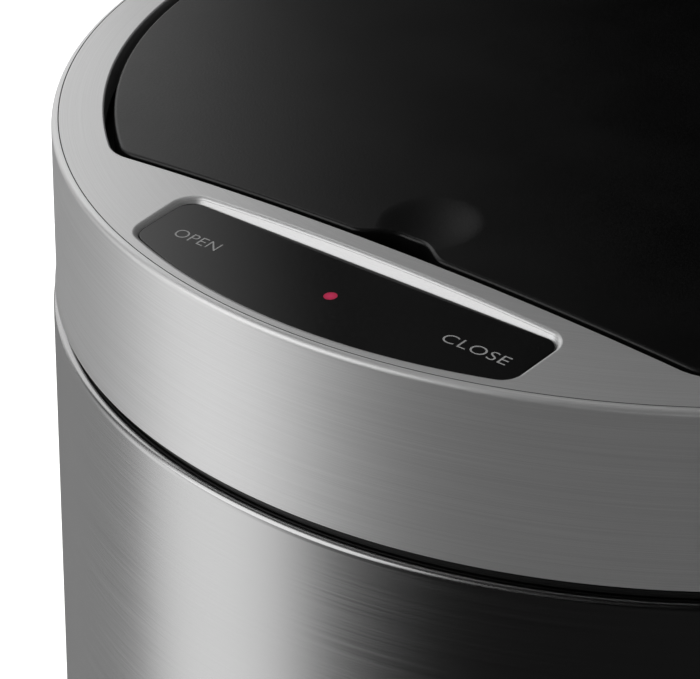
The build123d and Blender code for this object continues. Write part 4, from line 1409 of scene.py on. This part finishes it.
@dataclass(frozen=True)
class Card:
    """A graded studio card that is only seen in reflections; sizes in metres."""

    name: str
    middle: Place
    facing: Place
    across: Place
    size: Point
    stops: tuple[Point, ...]

    def build(self) -> None:
        """Makes the card: its light changes along its width between the given stops."""
        out = Vector(self.facing).normalized()
        side = Vector(self.across)
        side = (side - out * side.dot(out)).normalized()
        up = out.cross(side)
        width, height = self.size
        middle = Vector(self.middle)
        material, graph = new_surface(self.name)
        along = graph.vector("DOT_PRODUCT", graph.place(), side).outputs["Value"]
        start = middle.dot(side) - width / 2
        share = graph.math("DIVIDE", graph.math("SUBTRACT", along, start), width)
        tones = [(at, grey(level)) for at, level in self.stops]
        glow = graph.add("Emission", {"Color": graph.ramp(share, tones, "EASE")})
        output = next(n for n in graph.tree.nodes if n.bl_idname == "ShaderNodeOutputMaterial")
        graph.fill(output, {"Surface": glow.outputs[0]})
        ways = ((-0.5, -0.5), (0.5, -0.5), (0.5, 0.5), (-0.5, 0.5))
        card = put_sheet(self.name, [middle + side * x * width + up * y * height for x, y in ways], material)
        card.visible_camera = False
        card.visible_shadow = False
        card.visible_diffuse = False


@dataclass
class Studio:
    """A plain pale floor with soft light all round; lengths in metres."""

    reach: float = 9.0
    floor_scale: float = 3.0
    floor_tones: Point = (0.8, 0.83)
    floor_roughness: float = 0.8
    base: float = 0.01
    top_share: float = 0.12
    fade_span: Point = (-0.1, 0.4)
    glows: tuple[Glow, ...] = (
        Glow(216, 3, 27, 0.8),
        Glow(188, 25, 76, 0.28),
    )
    boxes: tuple[SoftBox, ...] = (
        SoftBox("light_floor", (-2.19, 2.6, 0.55), (-2.1964, 2.6077, 0), (6.0, 6.0), 190),
        SoftBox("light_top", (-0.3, -0.3, 2.2), (0, 0, 0.6), (1.5, 1.5), 27),
        SoftBox("light_fill", (1.5, -1.8, 1.0), (0, 0, 0.6), (1.0, 1.0), 22),
        SoftBox("light_front", (-0.893, -1.283, 1.316), (0, -0.14, 0.64), (1.4, 1.0), 5.3, True),
    )
    card: Card = Card(
        "card_back", (-0.42, 0.42, 0.8), (0.57, -0.57, -0.5), (0.7585, 0.6516, 0), (1.6, 1.0),
        ((0.0, 0.9), (0.36, 0.76), (0.44, 0.05), (0.54, 0.0)),
    )

    def build(self) -> None:
        """Makes the floor, the surrounding light, the lights and the card."""
        material, graph = new_surface("pale_floor")
        graph.blend(graph.noise(graph.place(), self.floor_scale), *map(grey, self.floor_tones))
        graph.fill(graph.shader, {"Roughness": self.floor_roughness})
        r = self.reach
        floor = put_sheet("floor", [(-r, -r, 0), (r, -r, 0), (r, r, 0), (-r, r, 0)], material)
        floor.visible_glossy = False
        self.surround()
        for made in (*self.boxes, self.card):
            made.build()
        bpy.context.scene.view_settings.view_transform = "Standard"
        LOG.info("studio: %d lights, floor and card", len(self.boxes))

    def surround(self) -> None:
        """Makes the light that comes from all round: glows on the left that fade upwards."""
        world = bpy.data.worlds.new("world")
        graph = NodeGraph(world, "Background")
        around = graph.add("TexCoord", {}).outputs["Generated"]
        flat = graph.vector("MULTIPLY", around, (1, 1, 0)).outputs[0]
        level = graph.vector("NORMALIZE", flat).outputs[0]
        total: object = self.base
        for glow in self.glows:
            turn = math.radians(glow.angle)
            middle = (math.cos(turn), math.sin(turn), 0)
            near = graph.vector("DOT_PRODUCT", level, middle).outputs["Value"]
            span = (math.cos(math.radians(glow.none)), math.cos(math.radians(glow.full)))
            total = graph.math("ADD", graph.spread(near, 0, glow.strength, span, True), total)
        fade = graph.spread(graph.parts(around)[2], 1, self.top_share, self.fade_span, True)
        strength = graph.math("MULTIPLY", total, fade)
        graph.fill(graph.shader, {"Color": (1, 1, 1, 1), "Strength": strength})
        bpy.context.scene.world = world


def make_finishes() -> dict[str, Material]:
    """Makes one material for each of the record's slots, and those of the body and the print.

    Returns:
        Material by slot name.
    """
    made = {
        "brushed_steel": BrushedSteel("satin_steel", 0.77, 0.36, 0.2, metal=0.82),
        "body_steel": BrushedSteel("body_steel", 0.6, 0.2, 0.75, relief=0.04),
        "red_light": LitRed(),
        "lid_black": Finish("lid_black", grey(0.0012), grey(0.0025), 0.34, grain_per_metre=1500, relief=0.3),
        "black_plastic": Finish("frame_black", grey(0.004), grey(0.008), 0.48),
        "gloss_black": Finish("panel_gloss", grey(0.001), grey(0.002), 0.1, relief=0.01, coat=0.6),
        "panel_ink": Finish("panel_ink", grey(0.19), grey(0.23), 0.5, relief=0.02),
        "rubber": Finish("foot_rubber", grey(0.02), grey(0.035), 0.8, relief=0.3),
        "zinc_steel": Finish("zinc_plate", grey(0.5), (0.62, 0.61, 0.58), 0.3, Sheen.METAL),
        "board_green": Finish("board_green", (0.012, 0.1, 0.04), (0.02, 0.14, 0.06), 0.35),
        "chip_black": Finish("chip_black", grey(0.02), grey(0.03), 0.55),
        "foam_grey": Finish("foam_grey", grey(0.1), grey(0.16), 0.95, relief=0.6),
        "gear_white": Finish("acetal_white", (0.72, 0.72, 0.68), (0.8, 0.8, 0.77), 0.4),
        "grey_plastic": Finish("case_grey", grey(0.14), grey(0.18), 0.5),
        "motor_can": Finish("motor_can", grey(0.45), grey(0.55), 0.35, Sheen.METAL, 400),
        "brass_gear": Finish("brass", (0.62, 0.42, 0.15), (0.7, 0.5, 0.2), 0.3, Sheen.METAL),
        "cell_wrap": Finish("cell_wrap", grey(0.08), grey(0.11), 0.3, coat=0.5),
        "wire_black": Finish("wire_black", grey(0.02), grey(0.03), 0.55),
    }
    return {slot: finish.build() for slot, finish in made.items()}


def main() -> None:
    """Builds the trash can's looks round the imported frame."""
    logging.basicConfig(level=logging.INFO)
    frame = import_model()
    made = make_finishes()
    band_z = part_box("collar_shell")[0].z
    crown = Crown(band_z + BAND_H)
    opening = LidOutline()
    hinge = next(j for j in frame["joints"] if j["name"] == "lid_hinge")["pos_m"]
    View().build(crown.head_r, crown.rim_z)
    Works(made).dress(frame)
    Body(made["body_steel"], made["black_plastic"]).build()
    Head(crown, opening, band_z, made["brushed_steel"], made["gloss_black"], made["panel_ink"]).build()
    Lid(crown, opening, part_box("lid_panel")[0].z, (hinge[1], hinge[2]), made["lid_black"]).build()
    Studio().build()


if __name__ == "__main__":
    main()
